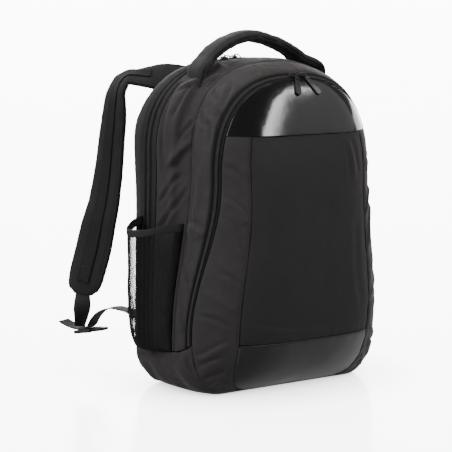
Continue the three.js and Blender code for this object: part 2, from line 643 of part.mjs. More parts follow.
// One shoulder strap with its webbing and lock
function shoulderStrap(name, side) {
  const count = (STRAP_PATH.length - 1) * STRAP_STEPS;
  const rows = framed(spread(count).map((share) => {
    const get = (column) => between(STRAP_PATH, column, share * (STRAP_PATH.length - 1));
    const angle = THREE.MathUtils.degToRad(get("face"));
    const x = STRAP_ROOT_X + get("out") * STRAP_SPREAD;
    const y = REAR_DEPTH + BACK_PUFF + get("back") * STRAP_REACH;
    return {
      middle: vec(side * x, y, get("up") * HEIGHT),
      across: vec(-side * Math.cos(angle), Math.sin(angle), get("tip")),
      width: get("wide") * STRAP_WIDTH,
      thick: get("thick") * STRAP_THICK,
    };
  }));
  const pad = solid(band(rows, 2, [WEB_WIDTH / 2, -WEB_WIDTH / 2])).subtract(backRoom());
  add(`strap_pad_${name}`, geometryOf(pad), CLOTH_BLACK);
  const sewn = rows.slice(FACING_FIRST * STRAP_STEPS, FACING_LAST * STRAP_STEPS + 1);
  const face = (lift) => (row) => -side * (row.thick / 2 + lift);
  const facing = strip(sewn, face(GAP), face(GAP + WEB_THICK), [-side, side]);
  add(`strap_facing_${name}`, facing, WEBBING);

  const end = rows[rows.length - 1];
  const lockEnd = end.middle.clone().add(vec(side * LOCK_OUT, 0, -DROP_LENGTH));
  const corner = vec(side * CORNER_OUT, REAR_DEPTH + BACK_PUFF + WEB_THICK, CORNER_HEIGHT);
  const course = vec(corner.x - lockEnd.x, corner.y - lockEnd.y, 0);
  const bar = vec(side * course.y, -side * course.x, 0).normalize();
  const overLock = lockEnd.z + LOCK_THICK / 2 + GAP + WEB_THICK / 2;

  const dropTop = end.middle.z - GAP;
  const dropEnd = overLock + WEB_THICK / 2 + 8 * GAP;
  const drop = spread(8).map((share) => ({
    middle: vec(mix(end.middle.x, lockEnd.x, share), end.middle.y, mix(dropTop, dropEnd, share)),
    across: end.across.clone().lerp(bar, share),
  }));
  add(`strap_drop_${name}`, webbing(drop), WEBBING);

  const load = spread(2 * (LOAD_PATH.length - 1)).map((share) => {
    const get = (column) => between(LOAD_PATH, column, share * (LOAD_PATH.length - 1));
    const middle = corner.clone().addScaledVector(course, -get("run"));
    const low = overLock + Math.max(0, 1 - get("run")) * course.length() * LOCK_RISE;
    middle.z = mix(low, CORNER_HEIGHT, get("up"));
    return { middle, across: bar };
  });
  add(`load_web_${name}`, webbing(load), WEBBING);

  const lock = ladderLock();
  lock.rotateY(-Math.atan(LOCK_RISE)).rotateZ(Math.atan2(course.y, course.x));
  add(`ladder_lock_${name}`, lock.translate(lockEnd.x, lockEnd.y, lockEnd.z), PLASTIC);
}
shoulderStrap("left", -1);
shoulderStrap("right", 1);

// A place on the side wall with its directions: x along the band, z out of it
function wallFrame(ring, seam, out) {
  const z = wallNormal(ring, seam);
  const x = ringPoint(ring + 0.02, seam).sub(ringPoint(ring - 0.02, seam)).normalize();
  const y = z.clone().cross(x).normalize();
  return new THREE.Matrix4().makeBasis(y.clone().cross(z), y, z).setPosition(wallPoint(ring, seam, out));
}

function zipSlider() {
  const [a, b] = [SLIDER_LENGTH / 2, SLIDER_WIDTH / 2];
  const outline = new THREE.Shape();
  outline.moveTo(-a, -b * 0.6);
  outline.lineTo(a * 0.4, -b);
  outline.lineTo(a, -b * 0.7);
  outline.lineTo(a, b * 0.7);
  outline.lineTo(a * 0.4, b);
  outline.lineTo(-a, b * 0.6);
  return new THREE.ExtrudeGeometry(outline, { depth: SLIDER_THICK, bevelEnabled: false });
}

// A flat pull with an eye at its root, from the origin along +X
function zipPull() {
  const half = PULL_WIDTH / 2;
  const outline = new THREE.Shape();
  outline.moveTo(0, -half * 0.6);
  outline.lineTo(PULL_LENGTH - half, -half);
  outline.absarc(PULL_LENGTH - half, 0, half, -Math.PI / 2, Math.PI / 2);
  outline.lineTo(0, half * 0.6);
  const eye = new THREE.Path();
  eye.absarc(half, 0, half * 0.35, 0, 2 * Math.PI, true);
  outline.holes.push(eye);
  return new THREE.ExtrudeGeometry(outline, { depth: PULL_THICK, bevelEnabled: false, curveSegments: 6 });
}

// The front zip's two sliders meet at the crown and their pulls hang over the top patch. before is
// the room between slider and pull in clearances.
const FRONT_SLIDERS = [
  { ring: -0.0046, pullSide: -0.14, pullRing: 0.46, before: 2.2, metal: false },
  { ring: 0.036, pullSide: 0.34, pullRing: 0.48, before: 3.6, metal: true },
];
FRONT_SLIDERS.forEach((row, i) => {
  const seat = wallFrame(row.ring, (FRONT_ZIP_REAR + DOOR_EDGE) / 2, 2 * GAP);
  add(`front_slider_${i + 1}`, zipSlider().applyMatrix4(seat), GUNMETAL);
  const front = -SLIDER_WIDTH / 2 - row.before * GAP;
  const start = vec(SLIDER_LENGTH / 5, front, SLIDER_THICK / 2).applyMatrix4(seat);
  const out = doorNormal(row.pullSide, row.pullRing);
  const target = doorPoint(row.pullSide, row.pullRing).addScaledVector(out, PULL_THICK);
  const x = target.sub(start).normalize();
  const y = out.clone().cross(x).normalize();
  const place = new THREE.Matrix4().makeBasis(x, y, x.clone().cross(y)).setPosition(start);
  add(`front_pull_${i + 1}`, zipPull().applyMatrix4(place), row.metal ? GUNMETAL : PLASTIC);
});

// The main zip's two sliders meet left of the crown and carry ring pulls that lie before them
[-0.1, -0.046].forEach((ring, i) => {
  const seat = wallFrame(ring, (MAIN_ZIP_REAR + MAIN_ZIP_FRONT) / 2, 0);
  add(`main_slider_${i + 1}`, zipSlider().applyMatrix4(seat), GUNMETAL);
  const pull = new THREE.TorusGeometry(RING_RADIUS - RING_WIRE / 2, RING_WIRE / 2, 6, 14);
  const high = RING_RADIUS * Math.sin(RING_LEAN) + GAP;
  pull.rotateX(RING_LEAN).translate(0, -SLIDER_WIDTH / 2 - RING_RADIUS, high);
  add(`main_ring_${i + 1}`, pull.applyMatrix4(seat), GUNMETAL);
});

export default bag;
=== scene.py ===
"""Looks of the laptop backpack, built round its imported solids. Metres, +Z up, front towards -Y."""
import math

import bmesh
import bpy
import numpy as np
from mathutils import Matrix, Vector


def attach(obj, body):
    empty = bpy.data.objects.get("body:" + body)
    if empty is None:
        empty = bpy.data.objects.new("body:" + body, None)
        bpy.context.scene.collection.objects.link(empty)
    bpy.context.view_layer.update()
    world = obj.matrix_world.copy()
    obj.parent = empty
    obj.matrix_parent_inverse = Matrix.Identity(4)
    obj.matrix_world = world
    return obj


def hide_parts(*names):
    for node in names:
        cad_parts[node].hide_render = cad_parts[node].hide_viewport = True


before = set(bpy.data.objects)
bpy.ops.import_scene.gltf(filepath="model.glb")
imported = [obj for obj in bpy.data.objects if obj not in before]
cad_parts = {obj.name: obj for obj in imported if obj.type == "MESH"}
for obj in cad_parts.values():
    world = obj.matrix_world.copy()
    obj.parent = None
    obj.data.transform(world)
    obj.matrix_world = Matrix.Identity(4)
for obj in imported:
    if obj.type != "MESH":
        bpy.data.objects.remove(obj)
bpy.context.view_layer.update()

# Camera
CAMERA_AT = (-1.433, -1.969, 0.565)
CAMERA_AZIMUTH = -34.51
CAMERA_DOWN = 7.98
CAMERA_LENS = 137.6
CAMERA_SENSOR = 36.0
camera = bpy.data.objects.new("camera", bpy.data.cameras.new("camera"))
bpy.context.collection.objects.link(camera)
camera.data.lens = CAMERA_LENS
camera.data.sensor_width = CAMERA_SENSOR
camera.location = CAMERA_AT
azimuth, down = math.radians(CAMERA_AZIMUTH), math.radians(CAMERA_DOWN)
looking = Vector((-math.sin(azimuth) * math.cos(down), math.cos(azimuth) * math.cos(down), -math.sin(down)))
camera.rotation_euler = looking.to_track_quat("-Z", "Y").to_euler()
bpy.context.scene.camera = camera

# Sizes, as in the part
HEIGHT = 0.460
WIDTH = 0.344
REAR_DEPTH = 0.103
FRONT_DEPTH = 0.057
BACK_PUFF = 0.013
DOOR_PUFF = 0.047
ROUND = 0.8
DOOR_TOP_SEAM = 0.755
DOOR_LOW_SEAM = 2.06
BASE_SEAM = 2.06
OUTLINES = {
    "y": (1.0, 0.78, 0.5, 0.0, -0.74, -1.0),
    "shoulder": (0.472, 0.481, 0.468, 0.4, 0.388, 0.366),
    "hip": (0.484, 0.493, 0.494, 0.484, 0.475, 0.462),
    "foot": (0.345, 0.355, 0.363, 0.355, 0.314, 0.285),
    "spring": (0.716, 0.716, 0.712, 0.69, 0.664, 0.652),
    "top": (0.993, 0.998, 1.0, 0.993, 0.964, 0.943),
    "heel": (0.135, 0.139, 0.143, 0.157, 0.174, 0.183),
    "lift": (0.012, 0.0, 0.0, 0.0, 0.0, 0.010),
    "tuck": (0.0, 0.0, 0.0, 0.0, 0.043, 0.052),
}
DOOR_SEAM = ((0.0, 0.8), (1.0, 0.77), (1.5, 0.72), (2.06, 0.7), (3.0, 0.78))


def smooth(share):
    share = np.clip(share, 0.0, 1.0)
    return share * share * (3.0 - 2.0 * share)


def mix(a, b, share):
    return a + (b - a) * share


def between(column, place):
    """Value of a column between its rows, without overshoot."""
    v = np.asarray(column, float)
    n = len(v)
    place = np.asarray(place, float)
    i = np.clip(np.floor(place).astype(int), 0, n - 2)
    step = np.diff(v)
    slope = np.zeros(n)
    slope[0], slope[-1] = step[0], step[-1]
    for k in range(1, n - 1):
        a, b = step[k - 1], step[k]
        slope[k] = 0.0 if a * b <= 0 else 2.0 * a * b / (a + b)
    t = place - i
    return (
        (2 * t**3 - 3 * t**2 + 1) * v[i]
        + (t**3 - 2 * t**2 + t) * slope[i]
        + (-2 * t**3 + 3 * t**2) * v[i + 1]
        + (t**3 - t**2) * slope[i + 1]
    )


def hip_share(t):
    return smooth((t - 1.1) / 0.9) * (1.0 - 0.35 * smooth((t - 2.2) / 0.8))


def ring_point(ring, seam):
    """A point of the side wall: ring 0 crown, 1 shoulder, 2 heel, 3 foot, 4 middle of the base."""
    ring, seam = np.broadcast_arrays(np.asarray(ring, float), np.asarray(seam, float))
    get = {k: between(c, seam) for k, c in OUTLINES.items()}
    shoulder, hip, foot = get["shoulder"] * WIDTH, get["hip"] * WIDTH, get["foot"] * WIDTH
    spring, top, lift = get["spring"] * HEIGHT, get["top"] * HEIGHT, get["lift"] * HEIGHT
    heel = lift + get["heel"] * HEIGHT
    t = np.abs(ring)
    q = np.pi / 2
    a1 = (1.0 - np.clip(t, 0, 1)) * q
    x1 = shoulder * np.maximum(0, np.cos(a1)) ** ROUND
    z1 = spring + (top - spring) * np.maximum(0, np.sin(a1)) ** ROUND
    x2 = mix(shoulder, hip, smooth(t - 1.0))
    z2 = mix(spring, heel, t - 1.0)
    a3 = np.clip(t - 2.0, 0, 1) * q
    x3 = foot + (hip - foot) * np.maximum(0, np.cos(a3)) ** ROUND
    z3 = lift + (heel - lift) * (1.0 - np.maximum(0, np.sin(a3)) ** ROUND)
    x = np.where(t <= 1, x1, np.where(t <= 2, x2, np.where(t <= 3, x3, foot * (4.0 - t))))
    z = np.where(t <= 1, z1, np.where(t <= 2, z2, np.where(t <= 3, z3, lift)))
    y = get["y"]
    y = np.where(y > 0, y * REAR_DEPTH, y * FRONT_DEPTH) + get["tuck"] * HEIGHT * hip_share(t)
    return np.stack([np.where(ring < 0, -x, x), y, z], -1)


def cap_parts(side, ring, seam):
    side, ring = np.broadcast_arrays(np.asarray(side, float), np.asarray(ring, float))
    edge = ring_point(np.abs(ring), np.full(ring.shape, float(seam)))
    top, bottom = OUTLINES["top"][seam] * HEIGHT, OUTLINES["lift"][seam] * HEIGHT
    middle = (top + bottom) / 2
    reach = np.abs(edge[..., 2] - middle) / (top - middle)
    return side, ring, edge, reach


def door_point(side, ring):
    """A point of the front door: side runs from -1 to 1 between its edge seams."""
    side, ring, edge, reach = cap_parts(side, ring, 5)
    drawn = OUTLINES["tuck"][5] * HEIGHT * hip_share(np.abs(ring)) * (1 - reach**16)
    puff = (DOOR_PUFF * (1 - reach**4) + drawn) * (1 - np.abs(side) ** 3.6)
    return np.stack([side * edge[..., 0], edge[..., 1] - puff, edge[..., 2]], -1)


def back_point(side, ring):
    side, ring, edge, reach = cap_parts(side, ring, 0)
    puff = BACK_PUFF * (1 - reach**12) * (1 - np.abs(side) ** 7)
    return np.stack([side * edge[..., 0], edge[..., 1] + puff, edge[..., 2]], -1)


def unit(v):
    return v / np.maximum(1e-12, np.linalg.norm(v, axis=-1))[..., None]


def normal_of(surface, a, b, outwards, step=0.012):
    da = surface(a + step, b) - surface(a - step, b)
    db = surface(a, b + step) - surface(a, b - step)
    return outwards * unit(np.cross(da, db))


def wall_normal(ring, seam):
    return normal_of(ring_point, ring, np.clip(seam, 0.02, 4.98), -1)


# Relief
def value_noise(p, size, seed):
    """Smooth noise from 0 to 1 at points p, one lump being size metres."""
    q = np.asarray(p) / size
    base = np.floor(q).astype(np.int64)
    f = q - base
    f = f * f * (3 - 2 * f)
    total = 0.0
    for corner in np.ndindex(2, 2, 2):
        x, y, z = (base[..., k] + corner[k] for k in range(3))
        h = x * 73856093 ^ y * 19349663 ^ z * 83492791
        h = (h ^ seed * 40503) & 0xFFFFFFFF
        h = ((h ^ (h >> 15)) * 2246822519) & 0xFFFFFFFF
        h = ((h ^ (h >> 13)) * 3266489917) & 0xFFFFFFFF
        value = ((h ^ (h >> 16)) & 0xFFFF) / 65535.0
        wx, wy, wz = (f[..., k] if corner[k] else 1 - f[..., k] for k in range(3))
        total = total + value * wx * wy * wz
    return total


def swell(p, size, seed):
    """Soft uneven relief between -1 and 1."""
    a = value_noise(p, size, seed) * 2 - 1
    b = value_noise(p, size * 0.47, seed + 7) * 2 - 1
    return 0.68 * a + 0.32 * b


def creases(p, size, seed):
    """Fine ridges between 0 and 1, as in cloth that has been crushed."""
    a = value_noise(p, size, seed) * 2 - 1
    b = value_noise(p, size * 0.5, seed + 3) * 2 - 1
    return 0.65 * (1 - np.abs(a)) ** 5 + 0.35 * (1 - np.abs(b)) ** 5


def line_through(points, steps=8):
    """A smooth line through some points."""
    p = np.asarray(points, float)
    if len(p) == 2:
        t = np.linspace(0, 1, steps + 1)[:, None]
        return p[0] * (1 - t) + p[1] * t
    ends = np.vstack([2 * p[0] - p[1], p, 2 * p[-1] - p[-2]])
    out = []
    for i in range(1, len(ends) - 2):
        a, b, c, d = ends[i - 1], ends[i], ends[i + 1], ends[i + 2]
        second, third = 2 * a - 5 * b + 4 * c - d, 3 * b - a - 3 * c + d
        for t in np.linspace(0, 1, steps, endpoint=False):
            out.append(0.5 * (2 * b + (c - a) * t + second * t * t + third * t**3))
    out.append(p[-1])
    return np.array(out)


def relief_of_lines(points, normals, lines):
    """Height at each point from folds: (kind, high, wide, places). A ridge stands up, a crease is a
    furrow between two soft ridges, and a lap falls off steeply on its right side."""
    flat, n = points.reshape(-1, 3), normals.reshape(-1, 3)
    height = np.zeros(len(flat))
    for kind, high, wide, places in lines:
        path = line_through(places)
        near = np.all((flat > path.min(0) - 5 * wide) & (flat < path.max(0) + 5 * wide), axis=1)
        if not near.any():
            continue
        p = flat[near]
        a, b = path[:-1], path[1:]
        ab = b - a
        t = np.clip(((p[:, None] - a) * ab).sum(-1) / np.maximum(1e-12, (ab * ab).sum(-1)), 0, 1)
        foot = a + t[..., None] * ab
        off = p[:, None] - foot
        dist = np.linalg.norm(off, axis=-1)
        k = dist.argmin(1)
        rows = np.arange(len(p))
        d = dist[rows, k]
        side = np.sign((np.cross(ab[k], off[rows, k]) * n[near]).sum(-1))
        along = (k + t[rows, k]) / len(a)
        taper = smooth(along / 0.25) * smooth((1 - along) / 0.25)
        s = d / wide
        if kind == "ridge":
            shape = np.exp(-s * s)
        elif kind == "crease":
            shape = -np.exp(-s * s) + 0.6 * np.exp(-(((s - 1.9) / 1.1) ** 2))
        else:
            steep = np.exp(-((s / 0.45) ** 2)) - 0.45 * np.exp(-(((s - 1.0) / 0.6) ** 2))
            shape = np.where(side > 0, steep, np.exp(-((s / 1.9) ** 2)))
        height[near] += high * taper * shape
    return height.reshape(points.shape[:-1])


# Meshes
def mesh_object(name, points, faces, material, uv=None):
    """A smooth shaded mesh, uv being its cloth coordinates in metres."""
    mesh = bpy.data.meshes.new(name)
    points = np.asarray(points, float).reshape(-1, 3).tolist()
    mesh.from_pydata(points, [], [tuple(int(i) for i in f) for f in faces])
    if uv is not None:
        layer = mesh.uv_layers.new(name="cloth")
        index = np.zeros(len(mesh.loops), np.int32)
        mesh.loops.foreach_get("vertex_index", index)
        layer.data.foreach_set("uv", np.asarray(uv, float).reshape(-1, 2)[index].ravel())
    mesh.polygons.foreach_set("use_smooth", [True] * len(mesh.polygons))
    mesh.materials.append(material)
    mesh.update()
    obj = bpy.data.objects.new(name, mesh)
    bpy.context.collection.objects.link(obj)
    return obj


def grid_faces(rows, columns, start=0, closed=False):
    i, j = np.meshgrid(np.arange(rows - 1), np.arange(columns if closed else columns - 1), indexing="ij")
    k = (j + 1) % columns
    a, b = start + i * columns + j, start + i * columns + k
    return np.stack([a, b, b + columns, a + columns], -1).reshape(-1, 4)


def sheet(name, outer, inner, material, uv=None, out=None):
    """A closed thick sheet from two grids. out is an outward direction at the outer grid's middle."""
    rows, columns = outer.shape[:2]
    count = rows * columns
    points = np.concatenate([outer.reshape(-1, 3), inner.reshape(-1, 3)])
    front = grid_faces(rows, columns)
    back = grid_faces(rows, columns, count)[:, ::-1]
    j = np.arange(columns - 1)
    here = np.arange(rows - 1) * columns
    below = here + columns
    last = (rows - 1) * columns
    rims = [
        np.stack([j + 1, j, j + count, j + 1 + count], -1),
        np.stack([last + j, last + j + 1, last + j + 1 + count, last + j + count], -1),
        np.stack([here, below, below + count, here + count], -1),
        np.stack([below, here, here + count, below + count], -1) + columns - 1,
    ]
    faces = np.concatenate([front, back] + rims)
    r, c = rows // 2, columns // 2
    turn = np.cross(outer[r, c + 1] - outer[r, c], outer[r + 1, c] - outer[r, c])
    if out is not None and np.dot(turn, out) < 0:
        faces = faces[:, ::-1]
    if uv is not None:
        uv = np.concatenate([uv.reshape(-1, 2), uv.reshape(-1, 2)])
    return mesh_object(name, points, faces, material, uv)


def shell(name, outer, normals, thick, material, uv=None):
    """A sheet of even thickness below its outer grid."""
    out = normals[normals.shape[0] // 2, normals.shape[1] // 2]
    return sheet(name, outer, outer - normals * thick, material, uv, out)


def circle(count):
    return np.linspace(0, 2 * np.pi, count, endpoint=False)


def tube(path, across, out, section):
    """Rings of a section carried along a path: section is (x, y) pairs along across and out."""
    section = np.asarray(section, float)
    if section.ndim == 2:
        section = np.broadcast_to(section, (len(path),) + section.shape)
    return path[:, None] + across[:, None] * section[..., :1] + out[:, None] * section[..., 1:]


def tube_faces(rows, columns, start=0, capped=True):
    faces = [tuple(f) for f in grid_faces(rows, columns, start, closed=True)]
    if capped:
        faces.append(tuple(start + np.arange(columns)[::-1]))
        faces.append(tuple(start + (rows - 1) * columns + np.arange(columns)))
    return faces


def frames(path, across):
    """Unit directions across and out for a path, square to it."""
    along = unit(np.gradient(path, axis=0))
    across = unit(across - along * (across * along).sum(-1)[:, None])
    return across, unit(np.cross(along, across))


def lengths(path):
    return np.concatenate([[0], np.cumsum(np.linalg.norm(np.diff(path, axis=0), axis=-1))])


def resample(path, step, extra=()):
    """Points each about step metres along a path, and the other columns at the same places."""
    s = lengths(path)
    n = max(2, int(round(s[-1] / step)) + 1)
    t = np.linspace(0, s[-1], n)
    at = lambda column: np.interp(t, s, column)
    out = np.stack([at(path[:, k]) for k in range(3)], -1)
    return (out, *[np.stack([at(e[:, k]) for k in range(e.shape[1])], -1) for e in extra])


def stitches(name, path, out, material, pitch=0.0034, long=0.0025, thick=0.00042, lift=0.0001):
    """A row of thread stitches along a path on a surface."""
    p, n = resample(path, pitch, (out,))
    n = unit(n)
    along = unit(np.gradient(p, axis=0))
    side = np.cross(n, along)
    ring = np.array([(-1, 0), (-0.5, 0.8), (0.5, 0.8), (1, 0)])
    points, faces = [], []
    share = np.array([-0.5, -0.3, 0.3, 0.5])
    bulge = np.array([0.15, 0.9, 0.9, 0.15])
    for k in range(len(p) - 1):
        middle = (p[k] + p[k + 1]) / 2 + n[k] * lift
        start = len(points)
        for s, b in zip(share, bulge):
            for x, y in ring:
                rise = y * thick * b - thick * 0.2
                points.append(middle + along[k] * s * long + side[k] * x * thick / 2 + n[k] * rise)
        faces += list(grid_faces(4, 4, start))
    return mesh_object(name, points, faces, material)


def joined(name, objects):
    """Several objects made into one."""
    first = objects[0]
    with bpy.context.temp_override(
        active_object=first, object=first, selected_objects=objects, selected_editable_objects=objects
    ):
        bpy.ops.object.join()
    first.name = name
    return first


# Materials
def new_material(name):
    material = bpy.data.materials.new(name)
    material.use_nodes = True
    nodes, links = material.node_tree.nodes, material.node_tree.links
    return material, nodes, links, nodes["Principled BSDF"]


def texture(nodes, kind, **values):
    node = nodes.new(kind)
    for key, value in values.items():
        if key in node.inputs:
            node.inputs[key].default_value = value
        else:
            setattr(node, key, value)
    return node


def ranged(nodes, links, source, low, high, from_low=0.0, from_high=1.0):
    """A value carried from one range to another."""
    node = nodes.new("ShaderNodeMapRange")
    limits = (("From Min", from_low), ("From Max", from_high), ("To Min", low), ("To Max", high))
    for key, value in limits:
        node.inputs[key].default_value = value
    links.new(source, node.inputs["Value"])
    return node.outputs["Result"]


def bumped(nodes, links, shader, height, strength, distance):
    bump = texture(nodes, "ShaderNodeBump", Strength=strength, Distance=distance)
    links.new(height, bump.inputs["Height"])
    links.new(bump.outputs["Normal"], shader.inputs["Normal"])


def ramp(nodes, links, source, low, high, low_at=0.3, high_at=0.7):
    node = nodes.new("ShaderNodeValToRGB")
    node.color_ramp.elements[0].position = low_at
    node.color_ramp.elements[1].position = high_at
    node.color_ramp.elements[0].color = (*low, 1)
    node.color_ramp.elements[1].color = (*high, 1)
    links.new(source, node.inputs["Fac"])
    return node.outputs["Color"]


def blended(nodes, links, a, b):
    """Two colours in equal parts."""
    node = texture(nodes, "ShaderNodeMix", data_type="RGBA")
    node.inputs["Factor"].default_value = 0.5
    links.new(a, node.inputs[6])
    links.new(b, node.inputs[7])
    return node.outputs[2]


def sum_of(nodes, links, *terms):
    """A weighted sum of outputs: (output, weight)."""
    total = None
    for output, weight in terms:
        scaled = texture(nodes, "ShaderNodeMath", operation="MULTIPLY")
        links.new(output, scaled.inputs[0])
        scaled.inputs[1].default_value = weight
        if total is None:
            total = scaled.outputs[0]
            continue
        add = texture(nodes, "ShaderNodeMath", operation="ADD")
        links.new(total, add.inputs[0])
        links.new(scaled.outputs[0], add.inputs[1])
        total = add.outputs[0]
    return total


def weave_of(nodes, links, warp, weft):
    """Crossing threads by the cloth's own coordinates, periods in metres."""
    uv = texture(nodes, "ShaderNodeUVMap", uv_map="cloth")
    waves = []
    for direction, period in (("X", warp), ("Y", weft)):
        wave = texture(nodes, "ShaderNodeTexWave", bands_direction=direction, Scale=0.31416 / period)
        wave.inputs["Distortion"].default_value = 0.6
        wave.inputs["Detail"].default_value = 1.0
        links.new(uv.outputs["UV"], wave.inputs["Vector"])
        waves.append(wave.outputs["Fac"])
    return waves


def cloth(
    name, colour, light, roughness,
    warp=0.0011, weft=0.0009, depth=0.00012, sheen=0.0, specular=0.4, slub=0.0005,
):
    """A woven cloth: threads, slubs and faint blotches. Its colour follows the weave's height, darker in
    the hollows and lighter on the crests: painted shade and highlight of the weave.
    """
    material, nodes, links, shader = new_material(name)
    place = nodes.new("ShaderNodeTexCoord")
    blotch = texture(nodes, "ShaderNodeTexNoise", Scale=14.0, Detail=5.0, Roughness=0.6)
    fine = texture(nodes, "ShaderNodeTexNoise", Scale=0.45 / slub, Detail=3.0, Roughness=0.7)
    links.new(place.outputs["Object"], blotch.inputs["Vector"])
    links.new(place.outputs["Object"], fine.inputs["Vector"])
    a, b = weave_of(nodes, links, warp, weft)
    threads = sum_of(nodes, links, (a, 0.5), (b, 0.5))
    broad = ramp(nodes, links, blotch.outputs["Fac"], colour, light, 0.3, 0.75)
    # Painted shade and highlight: the weave's colour runs darker in its hollows and lighter on its crests,
    # from the same threads as its bump.
    hollow_shade = tuple(c * 0.72 for c in colour)
    crest_highlight = tuple(c * 1.25 for c in light)
    speckle = fine.outputs["Fac"]
    mixed = sum_of(nodes, links, (threads, 0.55), (speckle, 0.45))
    weave_shade_and_speckle = ramp(nodes, links, mixed, hollow_shade, crest_highlight, 0.25, 0.8)
    links.new(blended(nodes, links, broad, weave_shade_and_speckle), shader.inputs["Base Color"])
    rough = ranged(nodes, links, speckle, roughness - 0.07, min(1.0, roughness + 0.09))
    links.new(rough, shader.inputs["Roughness"])
    bumped(nodes, links, shader, sum_of(nodes, links, (threads, 0.7), (speckle, 0.6)), 0.8, depth)
    shader.inputs["Specular IOR Level"].default_value = specular
    shader.inputs["Sheen Weight"].default_value = sheen
    shader.inputs["Sheen Roughness"].default_value = 0.35
    shader.inputs["Sheen Tint"].default_value = (1.0, 0.92, 0.87, 1)
    return material


def coated(name, colour, light, roughness, depth, specular=0.5, coat=0.0):
    """A smooth coated cloth with a fine grain and slow waves in its surface."""
    material, nodes, links, shader = new_material(name)
    place = nodes.new("ShaderNodeTexCoord")
    slow = texture(nodes, "ShaderNodeTexNoise", Scale=22.0, Detail=3.0, Roughness=0.55)
    grain = texture(nodes, "ShaderNodeTexVoronoi", Scale=620.0)
    fine = texture(nodes, "ShaderNodeTexNoise", Scale=260.0, Detail=4.0, Roughness=0.6)
    for node in (slow, grain, fine):
        links.new(place.outputs["Object"], node.inputs["Vector"])
    links.new(ramp(nodes, links, fine.outputs["Fac"], colour, light), shader.inputs["Base Color"])
    waves, cells, specks = slow.outputs["Fac"], grain.outputs["Distance"], fine.outputs["Fac"]
    links.new(ranged(nodes, links, waves, roughness * 0.85, roughness * 1.25), shader.inputs["Roughness"])
    height = sum_of(nodes, links, (waves, 4.0), (cells, 0.12), (specks, 0.15))
    bumped(nodes, links, shader, height, 0.5, depth)
    shader.inputs["Specular IOR Level"].default_value = specular
    shader.inputs["Coat Weight"].default_value = coat
    shader.inputs["Coat Roughness"].default_value = 0.1
    return material


def hard(name, colour, roughness, metallic=0.0):
    """Moulded plastic or plated metal, with a fine grain and rubbed patches."""
    material, nodes, links, shader = new_material(name)
    place = nodes.new("ShaderNodeTexCoord")
    fine = texture(nodes, "ShaderNodeTexNoise", Scale=900.0, Detail=4.0, Roughness=0.6)
    worn = texture(nodes, "ShaderNodeTexNoise", Scale=120.0, Detail=5.0, Roughness=0.7)
    for node in (fine, worn):
        links.new(place.outputs["Object"], node.inputs["Vector"])
    light = tuple(min(1.0, c * 1.5 + 0.006) for c in colour)
    rubbed = worn.outputs["Fac"]
    links.new(ramp(nodes, links, rubbed, colour, light, 0.35, 0.8), shader.inputs["Base Color"])
    links.new(ranged(nodes, links, rubbed, roughness * 0.8, roughness * 1.4), shader.inputs["Roughness"])
    bumped(nodes, links, shader, fine.outputs["Fac"], 0.4, 0.00003)
    shader.inputs["Metallic"].default_value = metallic
    return material


BLACK = cloth(
    "black_cloth", (0.0275, 0.0248, 0.0248), (0.0405, 0.0366, 0.0368), 0.74,
    specular=0.34, sheen=0.15,
)
DOOR_BLACK = cloth(
    "door_cloth", (0.0215, 0.0196, 0.0198), (0.03, 0.0274, 0.0277), 0.7,
    warp=0.0013, weft=0.0012, specular=0.3, sheen=0.08,
)
AIR_MESH = cloth(
    "air_mesh", (0.018, 0.0178, 0.0178), (0.036, 0.035, 0.035), 0.8,
    warp=0.0026, weft=0.0026, depth=0.0005, slub=0.0011,
)
PAD_CLOTH = cloth(
    "pad_cloth", (0.0112, 0.0109, 0.0108), (0.033, 0.0322, 0.032), 0.86,
    specular=0.22, warp=0.002, weft=0.002, depth=0.0006, slub=0.0013,
)
TAPE = cloth(
    "zip_tape", (0.0085, 0.0086, 0.0086), (0.014, 0.0141, 0.0141), 0.82,
    specular=0.25, warp=0.0008, weft=0.0016, depth=0.00015,
)
WEB = cloth(
    "webbing", (0.016, 0.0156, 0.0156), (0.029, 0.0283, 0.0283), 0.7,
    warp=0.0022, weft=0.0013, depth=0.0004,
)
NET = cloth("net", (0.012, 0.012, 0.012), (0.018, 0.018, 0.018), 0.7, depth=0.0001)
THREAD = cloth(
    "thread", (0.014, 0.014, 0.014), (0.026, 0.026, 0.026), 0.5,
    warp=0.0004, weft=0.0005, depth=0.00008,
)
GLOSS = coated(
    "gloss_patch", (0.0026, 0.0026, 0.0027), (0.0038, 0.0038, 0.004), 0.13, 0.0003,
    specular=0.85, coat=0.35,
)
SATIN = coated("satin_patch", (0.012, 0.0123, 0.0123), (0.017, 0.0174, 0.0174), 0.36, 0.0001, specular=0.6)
PLASTIC = hard("moulded_plastic", (0.007, 0.007, 0.007), 0.42)
METAL = hard("gunmetal", (0.1, 0.1, 0.105), 0.3, metallic=1.0)
DARK_METAL = hard("dark_metal", (0.018, 0.018, 0.019), 0.36, metallic=0.6)
STRAP_WEB = cloth(
    "strap_webbing", (0.0095, 0.0093, 0.0092), (0.019, 0.0185, 0.0183), 0.8,
    specular=0.22, warp=0.0022, weft=0.0013, depth=0.0005,
)
GRIP_CLOTH = cloth(
    "grip_cloth", (0.0185, 0.017, 0.0172), (0.0285, 0.0262, 0.0266), 0.76,
    specular=0.32, sheen=0.14,
)
FOLD_CLOTH = cloth(
    "zip_fold_cloth", (0.0165, 0.0152, 0.0154), (0.0245, 0.0225, 0.0229), 0.78,
    specular=0.28, sheen=0.06,
)
COIL = hard("zip_coil", (0.006, 0.006, 0.0062), 0.55)

# Cloth panels
def even(curve, start, end, step, fine=700):
    """Places between start and end whose points on curve lie evenly, about step apart, with closer
    rows at both ends for the rolled edges."""
    t = np.linspace(start, end, fine)
    s = lengths(curve(t))
    n = max(4, int(round(s[-1] / step)))
    rim = np.array([0.0, 0.0005, 0.0012, 0.0022])
    marks = np.concatenate([rim, np.linspace(0, s[-1], n + 1)[2:-2], (s[-1] - rim)[::-1]])
    return np.interp(np.sort(marks), s, t)


